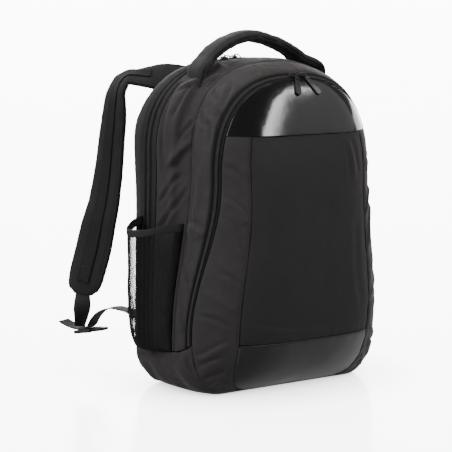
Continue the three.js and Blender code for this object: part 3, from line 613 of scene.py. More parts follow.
def spans(points):
    """Distances of each grid point from the first and last column and from the first and last row."""
    across = np.linalg.norm(np.diff(points, axis=1), axis=-1)
    along = np.linalg.norm(np.diff(points, axis=0), axis=-1)
    left = np.concatenate([np.zeros((len(points), 1)), np.cumsum(across, 1)], 1)
    top = np.concatenate([np.zeros((1, points.shape[1])), np.cumsum(along, 0)], 0)
    return left, left[:, -1:] - left, top, top[-1:] - top


def gathers(along, away, pitch, high, reach, seed):
    """Short ripples that start at a seam and die away from it."""
    q = np.stack([along, along * 0 + seed, along * 0], -1)
    a = value_noise(q / pitch, 1.0, seed) * 2 - 1
    b = value_noise(q / (pitch * 0.45), 1.0, seed + 5) * 2 - 1
    return high * (0.7 * a + 0.3 * b) * np.exp(-((away / reach) ** 2))


def settle(points, normals, relief, roll=0.0012, soft=0.0016, rolled=True):
    """Points with their relief and edges that roll in to the seams."""
    left, right, top, low = spans(points)
    if rolled:
        edge = np.minimum.reduce([left, right, top, low])
        relief = relief - roll * np.exp(-((edge / soft) ** 1.5))
    return points + normals * relief[..., None], np.stack([left, top], -1)


# Folds of the gussets on the left: kind, height and half width in mm, places as (ring, seam)
WALL_LINES = (
    (
        "lap", 4.2, 7.0,
        (
            (-0.36, 2.6), (-0.435, 2.57), (-0.532, 2.58), (-0.655, 2.59), (-0.732, 2.59),
            (-0.83, 2.56), (-0.907, 2.57), (-1.02, 2.5),
        ),
    ),
    ("crease", 2.2, 4.0, ((-0.5, 2.5), (-0.535, 2.5), (-0.635, 2.47), (-0.72, 2.44), (-0.8, 2.4))),
    (
        "crease", 2.6, 4.5,
        (
            (-0.55, 2.06), (-0.61, 2.09), (-0.702, 2.1), (-0.835, 2.16), (-0.975, 2.22),
            (-1.1, 2.3),
        ),
    ),
    ("lap", 4.6, 7.0, ((-0.88, 2.98), (-0.915, 2.94), (-0.962, 2.7), (-1.002, 2.55), (-1.05, 2.3))),
    ("ridge", 3.6, 7.5, ((-0.96, 2.62), (-1.002, 2.55), (-1.162, 2.53), (-1.322, 2.58), (-1.4, 2.6))),
    ("crease", 2.0, 3.5, ((-1.04, 2.85), (-1.1, 2.6), (-1.2, 2.3), (-1.26, 2.12))),
    ("crease", 2.4, 3.5, ((-0.74, 2.97), (-0.797, 2.9), (-0.85, 2.75), (-0.9, 2.62))),
    ("lap", 3.0, 5.0, ((-0.36, 2.95), (-0.44, 2.8), (-0.52, 2.4), (-0.56, 2.1))),
    ("ridge", 3.0, 6.0, ((-0.2, 2.1), (-0.26, 2.5), (-0.3, 2.95))),
    ("crease", 2.0, 4.0, ((-1.1, 3.0), (-1.2, 2.75), (-1.34, 2.35), (-1.4, 2.1))),
    ("crease", 2.2, 4.0, ((-0.797, 3.04), (-0.833, 3.12), (-0.91, 3.18), (-1.0, 3.4))),
    ("lap", 3.8, 7.0, ((-1.28, 3.03), (-1.322, 3.3), (-1.322, 3.49), (-1.345, 3.89), (-1.37, 4.1))),
    ("lap", 3.4, 6.0, ((-0.46, 3.03), (-0.54, 3.19), (-0.58, 3.5), (-0.615, 3.81), (-0.63, 4.0))),
    ("crease", 2.4, 4.5, ((-0.38, 3.3), (-0.422, 3.64), (-0.525, 3.82), (-0.62, 3.96))),
    ("ridge", 2.8, 7.0, ((-0.95, 3.5), (-1.2, 3.42), (-1.5, 3.4), (-1.75, 3.35))),
    ("crease", 2.2, 4.5, ((-0.68, 3.05), (-0.74, 3.4), (-0.76, 3.7), (-0.9, 3.98))),
    ("crease", 2.6, 4.5, ((-1.5, 3.03), (-1.56, 3.3), (-1.64, 3.7), (-1.66, 3.98))),
    ("lap", 3.0, 6.0, ((-1.78, 3.02), (-1.82, 3.4), (-1.9, 3.7), (-1.92, 3.98))),
    ("crease", 1.8, 4.0, ((-0.12, 3.04), (-0.16, 3.5), (-0.2, 3.97))),
    ("lap", 4.4, 8.0, ((-2.1, 1.6), (-2.145, 2.16), (-2.348, 2.51), (-2.555, 2.85), (-2.7, 3.2))),
    (
        "crease", 3.2, 6.0,
        (
            (-2.12, 0.5), (-2.162, 0.76), (-2.145, 1.82), (-2.223, 2.28), (-2.452, 2.64),
            (-2.6, 2.9),
        ),
    ),
    ("lap", 3.4, 7.0, ((-2.14, 3.2), (-2.3, 3.5), (-2.5, 4.1), (-2.62, 4.6))),
    ("crease", 2.8, 6.0, ((-2.12, 4.1), (-2.26, 4.3), (-2.4, 4.8))),
    ("ridge", 2.6, 8.0, ((-2.2, 1.1), (-2.5, 1.3), (-2.75, 1.5))),
)
# Folds of the door on the left: kind, height and half width in mm, places as (side, ring)
DOOR_LINES = (
    ("lap", 3.0, 5.0, ((-0.99, 1.09), (-0.96, 1.11), (-0.87, 1.16), (-0.785, 1.24), (-0.76, 1.27))),
    ("lap", 3.2, 5.5, ((-0.99, 1.21), (-0.96, 1.24), (-0.87, 1.32), (-0.775, 1.45), (-0.75, 1.5))),
    ("crease", 2.4, 4.5, ((-0.97, 1.5), (-0.89, 1.58), (-0.82, 1.61), (-0.745, 1.68))),
    ("crease", 2.2, 4.5, ((-0.99, 0.92), (-0.955, 0.94), (-0.885, 0.96), (-0.8, 1.02))),
    ("ridge", 2.6, 5.0, ((-0.98, 1.7), (-0.9, 1.74), (-0.8, 1.8), (-0.73, 1.84))),
    ("crease", 2.0, 4.0, ((-0.98, 1.86), (-0.88, 1.88), (-0.76, 1.94))),
    ("lap", 3.4, 5.5, ((-1.0, 2.2), (-0.93, 2.16), (-0.855, 2.09), (-0.75, 2.03))),
    ("lap", 3.6, 5.5, ((-1.0, 2.35), (-0.95, 2.3), (-0.89, 2.24), (-0.79, 2.19))),
    ("crease", 3.0, 5.0, ((-0.99, 2.5), (-0.97, 2.47), (-0.84, 2.36), (-0.79, 2.31))),
    ("lap", 3.0, 5.5, ((-1.0, 2.66), (-0.97, 2.63), (-0.88, 2.53), (-0.84, 2.47))),
)
# Slack of the door's middle, below the top patch and beside the seams
CENTRE_LINES = (
    ("crease", 1.3, 5.0, ((0.4, 0.79), (0.47, 0.9), (0.5, 1.05))),
    ("crease", 1.5, 5.0, ((0.56, 0.79), (0.6, 0.88), (0.66, 1.02))),
    ("ridge", 1.3, 6.0, ((0.48, 0.78), (0.54, 0.92), (0.58, 1.1))),
    ("ridge", 1.2, 9.0, ((-0.62, 0.82), (-0.55, 1.2), (-0.6, 1.7))),
    ("crease", 1.2, 8.0, ((0.6, 1.2), (0.52, 1.6), (0.6, 1.98))),
    ("ridge", 1.0, 12.0, ((-0.3, 0.85), (-0.24, 1.3), (-0.3, 1.95))),
    ("crease", 0.9, 12.0, ((0.1, 0.85), (0.14, 1.4), (0.08, 1.98))),
    ("lap", 1.4, 6.0, ((-0.66, 1.9), (-0.4, 1.97), (-0.1, 1.99), (0.2, 1.97))),
)


def placed(lines, surface, share):
    """Lines with their places as points and their sizes in metres."""
    out = []
    for kind, high, wide, places in lines:
        a, b = np.array(places).T
        out.append((kind, share * high / 1000, 0.82 * wide / 1000, surface(a, b)))
    return out


WALL_FOLDS = placed(WALL_LINES, ring_point, 1.15)
DOOR_FOLDS = placed(DOOR_LINES, door_point, 0.72)
CENTRE_FOLDS = placed(CENTRE_LINES, door_point, 0.6)


def wall_rise(points, normals, ring, seam):
    """Relief of the gussets and base. The right side is a softer and shifted copy of the left."""
    left = points[..., 0] < 0
    flip = np.where(left, 1.0, -1.0)[..., None] * np.array([1.0, 0, 0]) + np.array([0, 1.0, 1.0])
    shifted = points * flip + np.where(left, 0.0, 1.0)[..., None] * np.array([0, 0.004, -0.014])
    folds = relief_of_lines(shifted, normals * flip, WALL_FOLDS)
    rest = smooth((2.95 - np.abs(ring)) / 0.5)
    slack = 0.0010 * swell(points, 0.034, 11) + 0.0004 * swell(points, 0.013, 12)
    crushed = 0.0009 * creases(points, 0.03, 13) + 0.0004 * creases(points, 0.012, 14)
    plump = 0.0065 * np.exp(-(((np.abs(ring) - 0.9) / 0.3) ** 2)) * np.sin(np.pi * np.clip(seam, 0, 1))
    return (np.where(left, 1.0, 0.8) * folds + slack + crushed + plump) * rest


def wall_grid(start, end, columns, rings):
    seams = np.array([mix(start, end, c) for c in columns])
    a, b = np.meshgrid(rings, seams, indexing="ij")
    points = ring_point(a, b)
    return a, b, points, wall_normal(a, b)


SEAM_GAP = 0.0006
CLOTH_STEP = 0.0023
CLOTH_THICK = 0.0018


def side_line(start, end, t):
    """A line across the wall at the side, from one seam to another."""
    return ring_point(np.full(t.shape, 1.3), mix(start, end, t))


def band_width(start, end):
    return lengths(side_line(start, end, np.linspace(0, 1, 60)))[-1]


def band_columns(start, end, step):
    """Shares of the way from one seam to the next, evenly spaced with rolled edges."""
    first = SEAM_GAP / 2 / band_width(start, end)
    return even(lambda t: side_line(start, end, t), first, 1 - first, step)


def wall_rings(start, end, step):
    """Rings over the top from base to base, evenly spaced midway between two seams."""
    middle = lambda t: ring_point(t, np.full(t.shape, (start + end) / 2))
    return even(middle, -BASE_SEAM + 0.004, BASE_SEAM - 0.004, step)


def wall_panel(name, start, end, seed):
    """A gusset between two seams, over the top from base to base."""
    rings, columns = wall_rings(start, end, CLOTH_STEP), band_columns(start, end, CLOTH_STEP)
    a, b, points, normals = wall_grid(start, end, columns, rings)
    left, right, top, _ = spans(points)
    rise = wall_rise(points, normals, a, b)
    along = top[:, :1] + 0 * top
    for away, key in ((left, 0), (right, 1)):
        rise = rise + gathers(along, away, 0.0085, 0.0007, 0.012, seed + key)
    fade = 1 - np.exp(-((np.minimum(left, right) / 0.006) ** 2))
    rise = rise * (0.45 + 0.55 * fade) + 0.0012 * np.sin(np.pi * left / (left + right))
    outer, uv = settle(points, normals, rise)
    return shell(name, outer, normals, CLOTH_THICK, BLACK, uv)


def done(piece, nodes):
    """The piece rides with the bag and stands for its solids."""
    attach(piece, "root")
    if nodes:
        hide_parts(*nodes)


def surface_line(surface, a, b, lift, outwards=-1, clamp=None):
    """Points and normals along a line of places on a surface."""
    points = surface(a, b)
    normals = normal_of(surface, a, b if clamp is None else np.clip(b, *clamp), outwards)
    return points + normals * lift, normals


def wall_line(seam, lift, start=-BASE_SEAM + 0.01, end=BASE_SEAM - 0.01, count=900):
    """A line along a seam place of the wall, on its relief."""
    ring = np.linspace(start, end, count)
    b = np.full(count, float(seam))
    points = ring_point(ring, b)
    normals = wall_normal(ring, b)
    rise = wall_rise(points, normals, ring, b)
    return points + normals * (lift + rise * 0.25)[:, None], normals


# Rear gusset, main gusset and front gusset
for name, start, end, seed in (
    ("rear_gusset", 0, 1, 21), ("main_gusset", 2, 3, 31), ("front_gusset", 3, 4, 41),
):
    done(wall_panel(name + "_cloth", start, end, seed), [name])


def zip_band(name, start, end, edge, coil_half, seed, fold):
    """A zip between two fabric edges: the edges folded and stitched down, the tape lower between them
    and the coil along its middle."""
    rings = wall_rings(start, end, 0.0022)
    wide = band_width(start, end)
    objects = []
    for part, side in (("edge_rear", 0), ("edge_front", 1)):
        first, last = (SEAM_GAP / 2, edge) if side == 0 else (wide - edge, wide - SEAM_GAP / 2)
        columns = np.linspace(first, last, 10) / wide
        a, b, points, normals = wall_grid(start, end, columns, rings)
        left, _, top, _ = spans(points)
        ripple = gathers(top[:, :1] + 0 * top, left, 0.006, 0.00035, 0.02, seed + side)
        rise = 0.25 * wall_rise(points, normals, a, b) + ripple
        outer, uv = settle(points, normals, rise + 0.0004, roll=0.0011, soft=0.0012)
        objects.append(shell(f"{name}_{part}", outer, normals, 0.0016, fold, uv))
    columns = np.linspace(edge - 0.0015, wide - edge + 0.0015, 9) / wide
    a, b, points, normals = wall_grid(start, end, columns, rings)
    rise = 0.25 * wall_rise(points, normals, a, b) - 0.0013
    outer, uv = settle(points, normals, rise, rolled=False)
    objects.append(shell(f"{name}_tape", outer, normals, 0.0006, TAPE, uv))
    middle, out = wall_line((start + end) / 2, -0.0013, -BASE_SEAM + 0.012, BASE_SEAM - 0.012, 1200)
    path, out = resample(middle, 0.00046, (out,))
    out = unit(out)
    across, out = frames(path, np.cross(out, np.gradient(path, axis=0)))
    if np.sum(out[len(out) // 2] * wall_normal(0.0, (start + end) / 2)) < 0:
        out = -out
    turn = np.arange(len(path)) % 3
    high = np.where(turn == 0, 0.0008, 0.0018)[:, None]
    shift = np.array([-1, -0.86, -0.4, 0, 0.4, 0.86, 1])
    dome = np.array([0.0, 0.72, 1.0, 0.62, 1.0, 0.72, 0.0])
    wide_now = coil_half * np.where(turn == 0, 0.93, 1.0)[:, None]
    beside = path[:, None] + across[:, None] * (shift * wide_now)[..., None]
    grid = beside + out[:, None] * (dome * high)[..., None]
    floor = beside - out[:, None] * 0.0003
    objects.append(sheet(f"{name}_coil", grid, floor, COIL, None, out[len(path) // 2]))
    for shift_mm in (edge - 0.0016, wide - edge + 0.0016):
        line, n = wall_line(mix(start, end, shift_mm / wide), 0.00045)
        objects.append(stitches(f"{name}_stitch", line, n, THREAD))
    return joined(name + "_band", objects)


done(zip_band("main_zip", 1, 2, 0.0075, 0.0026, 51, FOLD_CLOTH), ["main_zip"])
done(zip_band("front_zip", 4, 5, 0.0032, 0.0024, 61, TAPE), ["front_zip"])


def door_share(ring):
    rows = np.array(DOOR_SEAM)
    return np.interp(ring, rows[:, 0], rows[:, 1])


def cap_panel(name, surface, outwards, rings, sides, material, relief, thick=0.0018, roll=0.0012):
    """A panel of the door or the back. sides(ring) gives its left and right edge and the columns are
    spread between them."""
    count = sides[1]
    a = np.stack([np.interp(count, [0, 1], sides[0](r)) for r in rings])
    b = np.repeat(np.asarray(rings)[:, None], a.shape[1], 1)
    points = surface(a, b)
    normals = normal_of(surface, np.clip(a, -0.985, 0.985), np.clip(b, 0.12, 2.97), outwards)
    outer, uv = settle(points, normals, relief(points, normals), roll=roll)
    return shell(name, outer, normals, thick, material, uv)


def share_columns(wide, step=0.0023):
    n = int(round(wide / step))
    rim = np.array([0.0, 0.0005, 0.0012, 0.0022]) / wide
    return np.concatenate([rim, np.linspace(0, 1, n + 1)[2:-2], (1 - rim)[::-1]])


def door_rings(start, end, step=0.0023):
    return even(lambda t: door_point(np.zeros(t.shape), t), start, end, step)


def centre_relief(points, normals):
    left, right, top, low = spans(points)
    rise = relief_of_lines(points, normals, CENTRE_FOLDS)
    rise = rise + 0.0011 * swell(points, 0.06, 71) + 0.0003 * swell(points, 0.014, 72)
    for row in (
        (left, top, 0.009, 0.0005, 0.014, 73), (left, low, 0.008, 0.0006, 0.012, 74),
        (top, left, 0.009, 0.0006, 0.01, 75), (top, right, 0.009, 0.0006, 0.01, 76),
    ):
        rise = rise + gathers(*row)
    return rise


def side_relief(points, normals):
    left, right, top, _ = spans(points)
    on_left = points[..., 0].mean() < 0
    flip = np.array([1.0, 1, 1]) if on_left else np.array([-1.0, 1, 1])
    rise = relief_of_lines(points * flip, normals * flip, DOOR_FOLDS)
    rise = rise + 0.0008 * swell(points, 0.03, 81) + 0.0007 * creases(points, 0.026, 82)
    for away, seed in ((left, 83), (right, 84)):
        rise = rise + gathers(top, away, 0.008, 0.0006, 0.012, seed)
    edge = np.minimum(left, right)
    return rise * (0.2 + 0.8 * (1 - np.exp(-((edge / 0.006) ** 2)))) + 0.0009


def patch_relief(points, normals):
    return 0.00055 * swell(points, 0.075, 91) + 0.00012 * swell(points, 0.02, 92) + 0.0006


def satin_relief(points, normals):
    left, right, top, _ = spans(points)
    rise = 0.0007 * swell(points, 0.045, 93) + 0.0004
    return rise + gathers(top, right, 0.01, 0.0007, 0.012, 94) + gathers(left, top, 0.012, 0.0004, 0.01, 95)


def middle_edges(ring):
    return -door_share(ring) + 0.002, door_share(ring) - 0.002


patch = cap_panel(
    "door_top_gloss", door_point, -1, door_rings(0.1, DOOR_TOP_SEAM - 0.002),
    (lambda r: (-0.997, 0.997), share_columns(0.25)), GLOSS, patch_relief, roll=0.0,
)
done(patch, ["door_top_patch"])
centre = cap_panel(
    "door_centre_cloth", door_point, -1, door_rings(DOOR_TOP_SEAM + 0.002, DOOR_LOW_SEAM - 0.002),
    (middle_edges, share_columns(0.22)), DOOR_BLACK, centre_relief, roll=0.0007,
)
done(centre, ["door_centre"])
satin = cap_panel(
    "door_foot_satin", door_point, -1, door_rings(DOOR_LOW_SEAM + 0.003, 3.0),
    (middle_edges, share_columns(0.2)), SATIN, satin_relief, roll=0.0008,
)
done(satin, ["door_bottom_patch"])
for name, sign in (("left", -1), ("right", 1)):
    rings = door_rings(DOOR_TOP_SEAM + 0.002, 3.0)
    limits = lambda r: sorted((sign * 0.997, sign * (door_share(r) + 0.002)))
    columns = share_columns(0.042, 0.002)
    piece = cap_panel(
        f"door_side_{name}_cloth", door_point, -1, rings, (limits, columns), BLACK, side_relief, roll=0.0007
    )
    done(piece, [f"door_side_{name}"])


# Base
def base_panel():
    half = even(lambda t: ring_point(t, np.full(t.shape, 2.5)), BASE_SEAM + 0.006, 4.0, 0.0028)
    rings = np.concatenate([half, (8 - half)[::-1][1:]])
    curve = lambda t: ring_point(np.full(t.shape, 2.4), t * 5)
    columns = even(curve, 0.0012, 0.9988, 0.0026)
    a, b = np.meshgrid(rings, columns * 5, indexing="ij")
    signed = np.where(a <= 4, -a, 8 - a)
    points = ring_point(signed, b)
    probe = np.where(np.abs(signed) > 2.98, np.sign(signed) * 2.98, signed)
    normals = wall_normal(probe, b)
    flat = smooth((np.abs(signed) - 2.7) / 0.3)[..., None]
    normals = unit(normals * (1 - flat) + np.array([0, 0, -1.0]) * flat)
    left, _, top, low = spans(points)
    rise = wall_rise(points, normals, signed, b)
    ends = np.minimum(top, low)
    rise = rise + gathers(left, ends, 0.009, 0.0016, 0.016, 101) * smooth((2.95 - np.abs(signed)) / 0.4)
    outer, uv = settle(points, normals, rise)
    outer[..., 2] = np.maximum(outer[..., 2], 0.0001)
    return sheet("base_cloth", outer, outer - normals * 0.0026, BLACK, uv, (0, 0, -1.0))


done(base_panel(), ["base"])


# Back panel
def back_relief(points, normals):
    left, right, top, low = spans(points)
    edge = np.minimum.reduce([left, right, top, low])
    x = points[..., 0]
    channel = np.exp(-((x / 0.011) ** 4))
    rise = -0.003 * channel + 0.0009 * swell(points, 0.05, 111) + 0.0003 * swell(points, 0.012, 112)
    stitch_line = np.exp(-(((edge - 0.011) / 0.0016) ** 2))
    return rise * smooth(edge / 0.02) - 0.0014 * stitch_line + 0.0006


back = cap_panel(
    "back_panel_pad", back_point, 1, even(lambda t: back_point(np.zeros(t.shape), t), 0.1, 3.0, 0.003),
    (lambda r: (-0.997, 0.997), share_columns(0.32, 0.0032)), AIR_MESH, back_relief,
    thick=0.0105, roll=0.0022,
)
done(back, ["back_panel"])

# Side pockets
POCKET_BULGE = {-1: 0.034, 1: 0.009}
POCKET_RINGS = (1.37, 2.05)
POCKET_SEAMS = (2.93, 1.07)
HEM_SHARE = 0.0625


def pocket_point(side, across, down, lift=0.0):
    """A point of a pocket's net: across from its front edge to its rear one, down from its hem."""
    across, down = np.broadcast_arrays(np.asarray(across, float), np.asarray(down, float))
    most = POCKET_BULGE[side]
    flare = 0.008 * most / 0.034
    dip = 0.05 * np.sin(np.pi * across) * (1 - down)
    ring = mix(POCKET_RINGS[0], POCKET_RINGS[1], down) + dip
    seam = mix(POCKET_SEAMS[0], POCKET_SEAMS[1], across)
    bulge = most * np.sqrt(np.maximum(0, 1 - np.maximum(down, 0) ** 6)) + flare * (1 - down) ** 2
    round_share = np.maximum(0, np.sin(np.pi * np.clip(across, 0, 1))) ** 0.7
    base = ring_point(side * ring, seam)
    waves = 0.0012 * swell(base, 0.03, 121) * round_share
    return base + wall_normal(side * ring, seam) * (0.0022 + bulge * round_share + waves + lift)[..., None]


def net_piece(name, side):
    """A diamond net of fine knotted strands."""
    wide = lengths(pocket_point(side, np.linspace(0, 1, 80), np.full(80, 0.5)))[-1]
    high = lengths(pocket_point(side, np.full(80, 0.5), np.linspace(0, 1, 80)))[-1]
    pitch, radius, step = 0.0027, 0.00036, 0.0013
    points, faces, start = [], [], 0
    for slope in (1, -1):
        low = 0.0 if slope > 0 else -high
        for c in np.arange(low + pitch / 2, low + wide + high, pitch):
            v = np.arange(0, high, step)
            u = c - slope * v if slope > 0 else c + v
            keep = (u >= 0) & (u <= wide)
            if keep.sum() < 3:
                continue
            u, v = u[keep] / wide, v[keep] / high
            over = 0.00012 * slope * np.cos(2 * np.pi * (u * wide + v * high) / pitch)
            path = pocket_point(side, u, v, over)
            n = wall_normal(side * mix(*POCKET_RINGS, v), mix(*POCKET_SEAMS, u))
            across, out = frames(path, np.cross(n, unit(np.gradient(path, axis=0))))
            turn = np.array([0.5, 2.6, 4.7])
            section = np.stack([np.cos(turn), np.sin(turn)], -1) * radius
            grid = tube(path, across, out, section)
            points.append(grid.reshape(-1, 3))
            faces += list(grid_faces(len(path), 3, start, closed=True))
            start += 3 * len(path)
    return mesh_object(name, np.concatenate(points), faces, NET)


def pocket_strip(name, side, across, down, thick, material, ribs=None):
    """A band on the pocket over grids of places."""
    a, d = np.meshgrid(across, down, indexing="xy")
    points = pocket_point(side, a, d)
    ring = mix(POCKET_RINGS[0], POCKET_RINGS[1], d)
    seam = mix(POCKET_SEAMS[0], POCKET_SEAMS[1], a)
    normals = wall_normal(side * ring, np.clip(seam, 1.0, 3.0))
    left, _, top, _ = spans(points)
    relief = np.zeros(points.shape[:2]) if ribs is None else ribs(left, top)
    outer, uv = settle(points, normals, relief + thick / 2, roll=thick * 0.35, soft=0.0012)
    return shell(name, outer, normals, thick, material, uv)


def hem_ribs(left, top):
    ribs = 0.00022 * np.sin(2 * np.pi * top / 0.0016)
    puckers = 0.0009 * (value_noise(np.stack([left, 0 * left, 0 * left], -1) / 0.006, 1.0, 131) - 0.5)
    return ribs + puckers


for name, side in (("left", -1), ("right", 1)):
    done(net_piece(f"pocket_net_{name}", side), [f"pocket_{name}"])
    fine, long = np.linspace(0, 1, 110), np.linspace(0, 1, 90)
    hem_rows = np.linspace(-HEM_SHARE, 0.0, 26)
    hem = pocket_strip(f"pocket_hem_{name}_elastic", side, fine, hem_rows, 0.0026, WEB, hem_ribs)
    done(hem, [f"pocket_hem_{name}"])
    bound = 0.005 / lengths(pocket_point(side, np.linspace(0, 1, 80), np.full(80, 0.5)))[-1]
    bindings = (
        ("front", np.linspace(0, bound, 6), long),
        ("rear", np.linspace(1 - bound, 1, 6), long),
        ("foot", fine, np.linspace(0.965, 1.0, 6)),
    )
    pieces = [pocket_strip(f"pocket_{k}_binding_{name}", side, a, d, 0.0018, TAPE) for k, a, d in bindings]
    for piece in pieces:
        done(piece, [f"pocket_{name}"])

# Bands and straps
def rounded(count, power_x, power_y):
    turn = circle(count)
    c, s = np.cos(turn), np.sin(turn)
    return np.stack([np.sign(c) * np.abs(c) ** power_x, np.sign(s) * np.abs(s) ** power_y], -1)


def padded_band(name, path, across, wide, thick, material, seed, count=52, puff=0.0006):
    """A stuffed band with a bound edge, its sections carried along a path."""
    across, out = frames(path, across)
    unit_section = rounded(count, 0.62, 0.72)
    x, y = unit_section[:, 0], unit_section[:, 1]
    edge = 1 - np.abs(x)
    groove = np.exp(-(((edge - 0.13) / 0.035) ** 2))
    section = np.stack([wide[:, None] / 2 * x, thick[:, None] / 2 * y * (1 - 0.2 * groove)], -1)
    grid = tube(path, across, out, section)
    s = lengths(path)
    along = np.repeat(s[:, None], count, 1)
    away = np.repeat((edge * wide.mean() / 2)[None], len(path), 0)
    ripple = gathers(along, away, 0.008, 0.0009, 0.012, seed) + puff * swell(grid, 0.022, seed + 1)
    by_side = np.stack([along, np.sign(x)[None] + 0 * along, 0 * along], -1) / 0.02
    wavy = 0.0011 * (value_noise(by_side, 1.0, seed + 2) - 0.5)
    radial = unit(across[:, None] * x[:, None] / max(1e-6, wide.mean()) * 0.012 + out[:, None] * y[:, None])
    grid = grid + radial * ripple[..., None]
    grid = grid + across[:, None] * (wavy * np.sign(x) * (edge < 0.4))[..., None]
    round_length = lengths(np.vstack([grid[len(grid) // 2], grid[len(grid) // 2][:1]]))[:-1]
    uv = np.stack([np.repeat(round_length[None], len(path), 0), along], -1)
    points = grid.reshape(-1, 3)
    faces = tube_faces(len(path), count)
    if np.linalg.det(np.stack([across[0], out[0], unit(np.gradient(path, axis=0))[0]])) > 0:
        faces = [f[::-1] for f in faces]
    body = mesh_object(name, points, faces, material, uv)
    return body, across, out


def rim_bead(name, path, across, out, wide, radius, material, sides=(-1, 1)):
    """A binding rolled over the edges of a band."""
    objects = []
    turn = circle(10)
    for side in sides:
        line = path + across * (side * (wide / 2 - radius * 0.6))[:, None]
        section = np.stack([np.cos(turn) * radius * 0.9, np.sin(turn) * radius * 1.15], -1)
        grid = tube(line, across, out, section)
        s = np.repeat(lengths(line)[:, None], 10, 1)
        uv = np.stack([np.repeat((turn * radius)[None], len(line), 0), s], -1)
        objects.append(mesh_object(name, grid.reshape(-1, 3), tube_faces(len(line), 10), material, uv))
    return joined(name, objects)


def webbing_strip(name, path, across, wide=0.025, thick=0.0016, material=None):
    """Flat webbing with rounded selvages and a rib along each edge."""
    across, out = frames(path, across)
    x = np.array([-1, -0.97, -0.88, -0.6, -0.2, 0.2, 0.6, 0.88, 0.97])
    y = np.array([0, 0.7, 0.86, 1, 0.94, 0.94, 1, 0.86, 0.7])
    x, y = np.concatenate([x, -x]), np.concatenate([y, -y])
    section = np.stack([x * wide / 2, y * thick / 2], -1)
    grid = tube(path, across, out, section)
    s = np.repeat(lengths(path)[:, None], len(x), 1)
    uv = np.stack([np.repeat((x * wide / 2)[None], len(path), 0), s], -1)
    piece = mesh_object(name, grid, tube_faces(len(path), len(x)), material or WEB, uv)
    return piece, across, out


# Carrying handle
HANDLE_Y = 0.040
HANDLE_SPAN = 0.208
HANDLE_RISE = 0.064
HANDLE_THICK = 0.016
HANDLE_LEAN = 0.015


def handle_middle(angle):
    reach, rise = (HANDLE_SPAN - HANDLE_THICK) / 2, HANDLE_RISE - HANDLE_THICK / 2
    c = np.cos(angle)
    x = -reach * np.sign(c) * np.abs(c) ** 1.25
    up = np.maximum(0, np.sin(angle)) ** 1.25
    z = HEIGHT - HANDLE_RISE / 2.7 + rise * up
    return np.stack([x - HANDLE_LEAN * up, np.full(np.shape(angle), HANDLE_Y), z], -1)


def leg(side):
    places = [(0.52, 2.42, -0.012), (0.48, 2.4, -0.0065), (0.43, 2.36, 0.0015), (0.385, 2.31, 0.0085)]
    return [ring_point(side * r, s) + wall_normal(side * r, s) * lift for r, s, lift in places]


arch = handle_middle(np.linspace(0.5, np.pi - 0.5, 13))
knots = np.vstack([leg(-1), arch, leg(1)[::-1]])
path = line_through(knots, 12)
s = lengths(path)
path, = resample(path, 0.0028)
s = lengths(path) / lengths(path)[-1]
ends = np.minimum(s, 1 - s) * lengths(path)[-1]
wide = 0.038 - 0.005 * np.exp(-((ends / 0.022) ** 2))
thick = mix(0.008, 0.0165, smooth(ends / 0.05))
lean = np.stack([0 * s, 1 + 0 * s, 0 * s], -1)
handle, handle_across, handle_out = padded_band(
    "handle_grip", path, lean, wide, thick, GRIP_CLOTH, 141, puff=0.0008
)
done(handle, ["handle"])
bead = rim_bead("handle_binding", path, handle_across, handle_out, wide, 0.0017, TAPE)
done(bead, ["handle"])
for name, side in (("left", -1), ("right", 1)):
    rings = np.linspace(0.35, 0.5, 20)
    seams = np.linspace(1.93, 2.9, 24)
    a, b = np.meshgrid(side * rings, seams, indexing="ij")
    points, normals = ring_point(a, b), wall_normal(a, b)
    rise = np.maximum(0.0016 + 0.8 * wall_rise(points, normals, a, b), 0.0018)
    outer, uv = settle(points, normals, rise, roll=0.0008)
    foot = sheet(f"handle_foot_{name}_patch", outer, outer - normals * 0.0016, BLACK, uv, normals[10, 12])
    loop_a = np.array([0.362, 0.488, 0.488, 0.362, 0.362])
    loop_b = np.array([2.0, 2.0, 2.84, 2.84, 2.0])
    t = np.linspace(0, 4, 160)
    ring_at, seam_at = side * np.interp(t, range(5), loop_a), np.interp(t, range(5), loop_b)
    n = wall_normal(ring_at, seam_at)
    p = ring_point(ring_at, seam_at)
    lift = np.maximum(0.0016 + 0.8 * wall_rise(p, n, ring_at, seam_at), 0.0018) + 0.0001
    thread = stitches("foot_stitch", p + n * lift[:, None], n, THREAD)
    done(joined(f"handle_foot_{name}_patch", [foot, thread]), [f"handle_foot_{name}"])

# Shoulder straps: out, back, up, face in degrees, tip, wide, thick
STRAP_PATH = (
    (-0.03, -0.02, 0.916, -174, -0.5, 0.9, 0.7),
    (0.16, 0.1, 0.93, -158, -0.62, 0.94, 0.85),
    (0.38, 0.24, 0.94, -138, -0.42, 0.98, 1),
    (0.58, 0.4, 0.94, -120, -0.2, 1, 1),
    (0.67, 0.5, 0.912, -108, -0.15, 1, 1),
    (0.685, 0.58, 0.868, -98, -0.05, 1, 1),
    (0.67, 0.69, 0.787, -92, 0, 1, 1),
    (0.67, 0.78, 0.685, -88, 0, 1, 1),
    (0.71, 0.86, 0.55, -82, 0, 1, 1),
    (0.79, 0.9, 0.456, -74, 0, 1, 1),
    (0.85, 0.91, 0.39, -71, 0, 1, 1),
    (0.95, 0.91, 0.309, -70, 0, 0.97, 1),
    (1.0, 0.91, 0.265, -70, 0, 0.84, 0.9),
    (1.01, 0.91, 0.243, -70, 0, 0.5, 0.7),
)
LOAD_PATH = (
    (0, 1), (0.08, 1.55), (0.2, 1.8), (0.36, 1.76), (0.5, 1.53), (0.63, 1.15), (0.74, 0.6),
    (0.81, 0.1), (0.86, 0), (0.93, 0), (1.0, 0.02), (1.1, 0.09), (1.2, 0.21), (1.28, 0.34),
)
STRAP_WIDTH = 0.066
STRAP_THICK = 0.011
STRAP_ROOT_X = 0.066
STRAP_REACH = 0.112
STRAP_SPREAD = 0.118
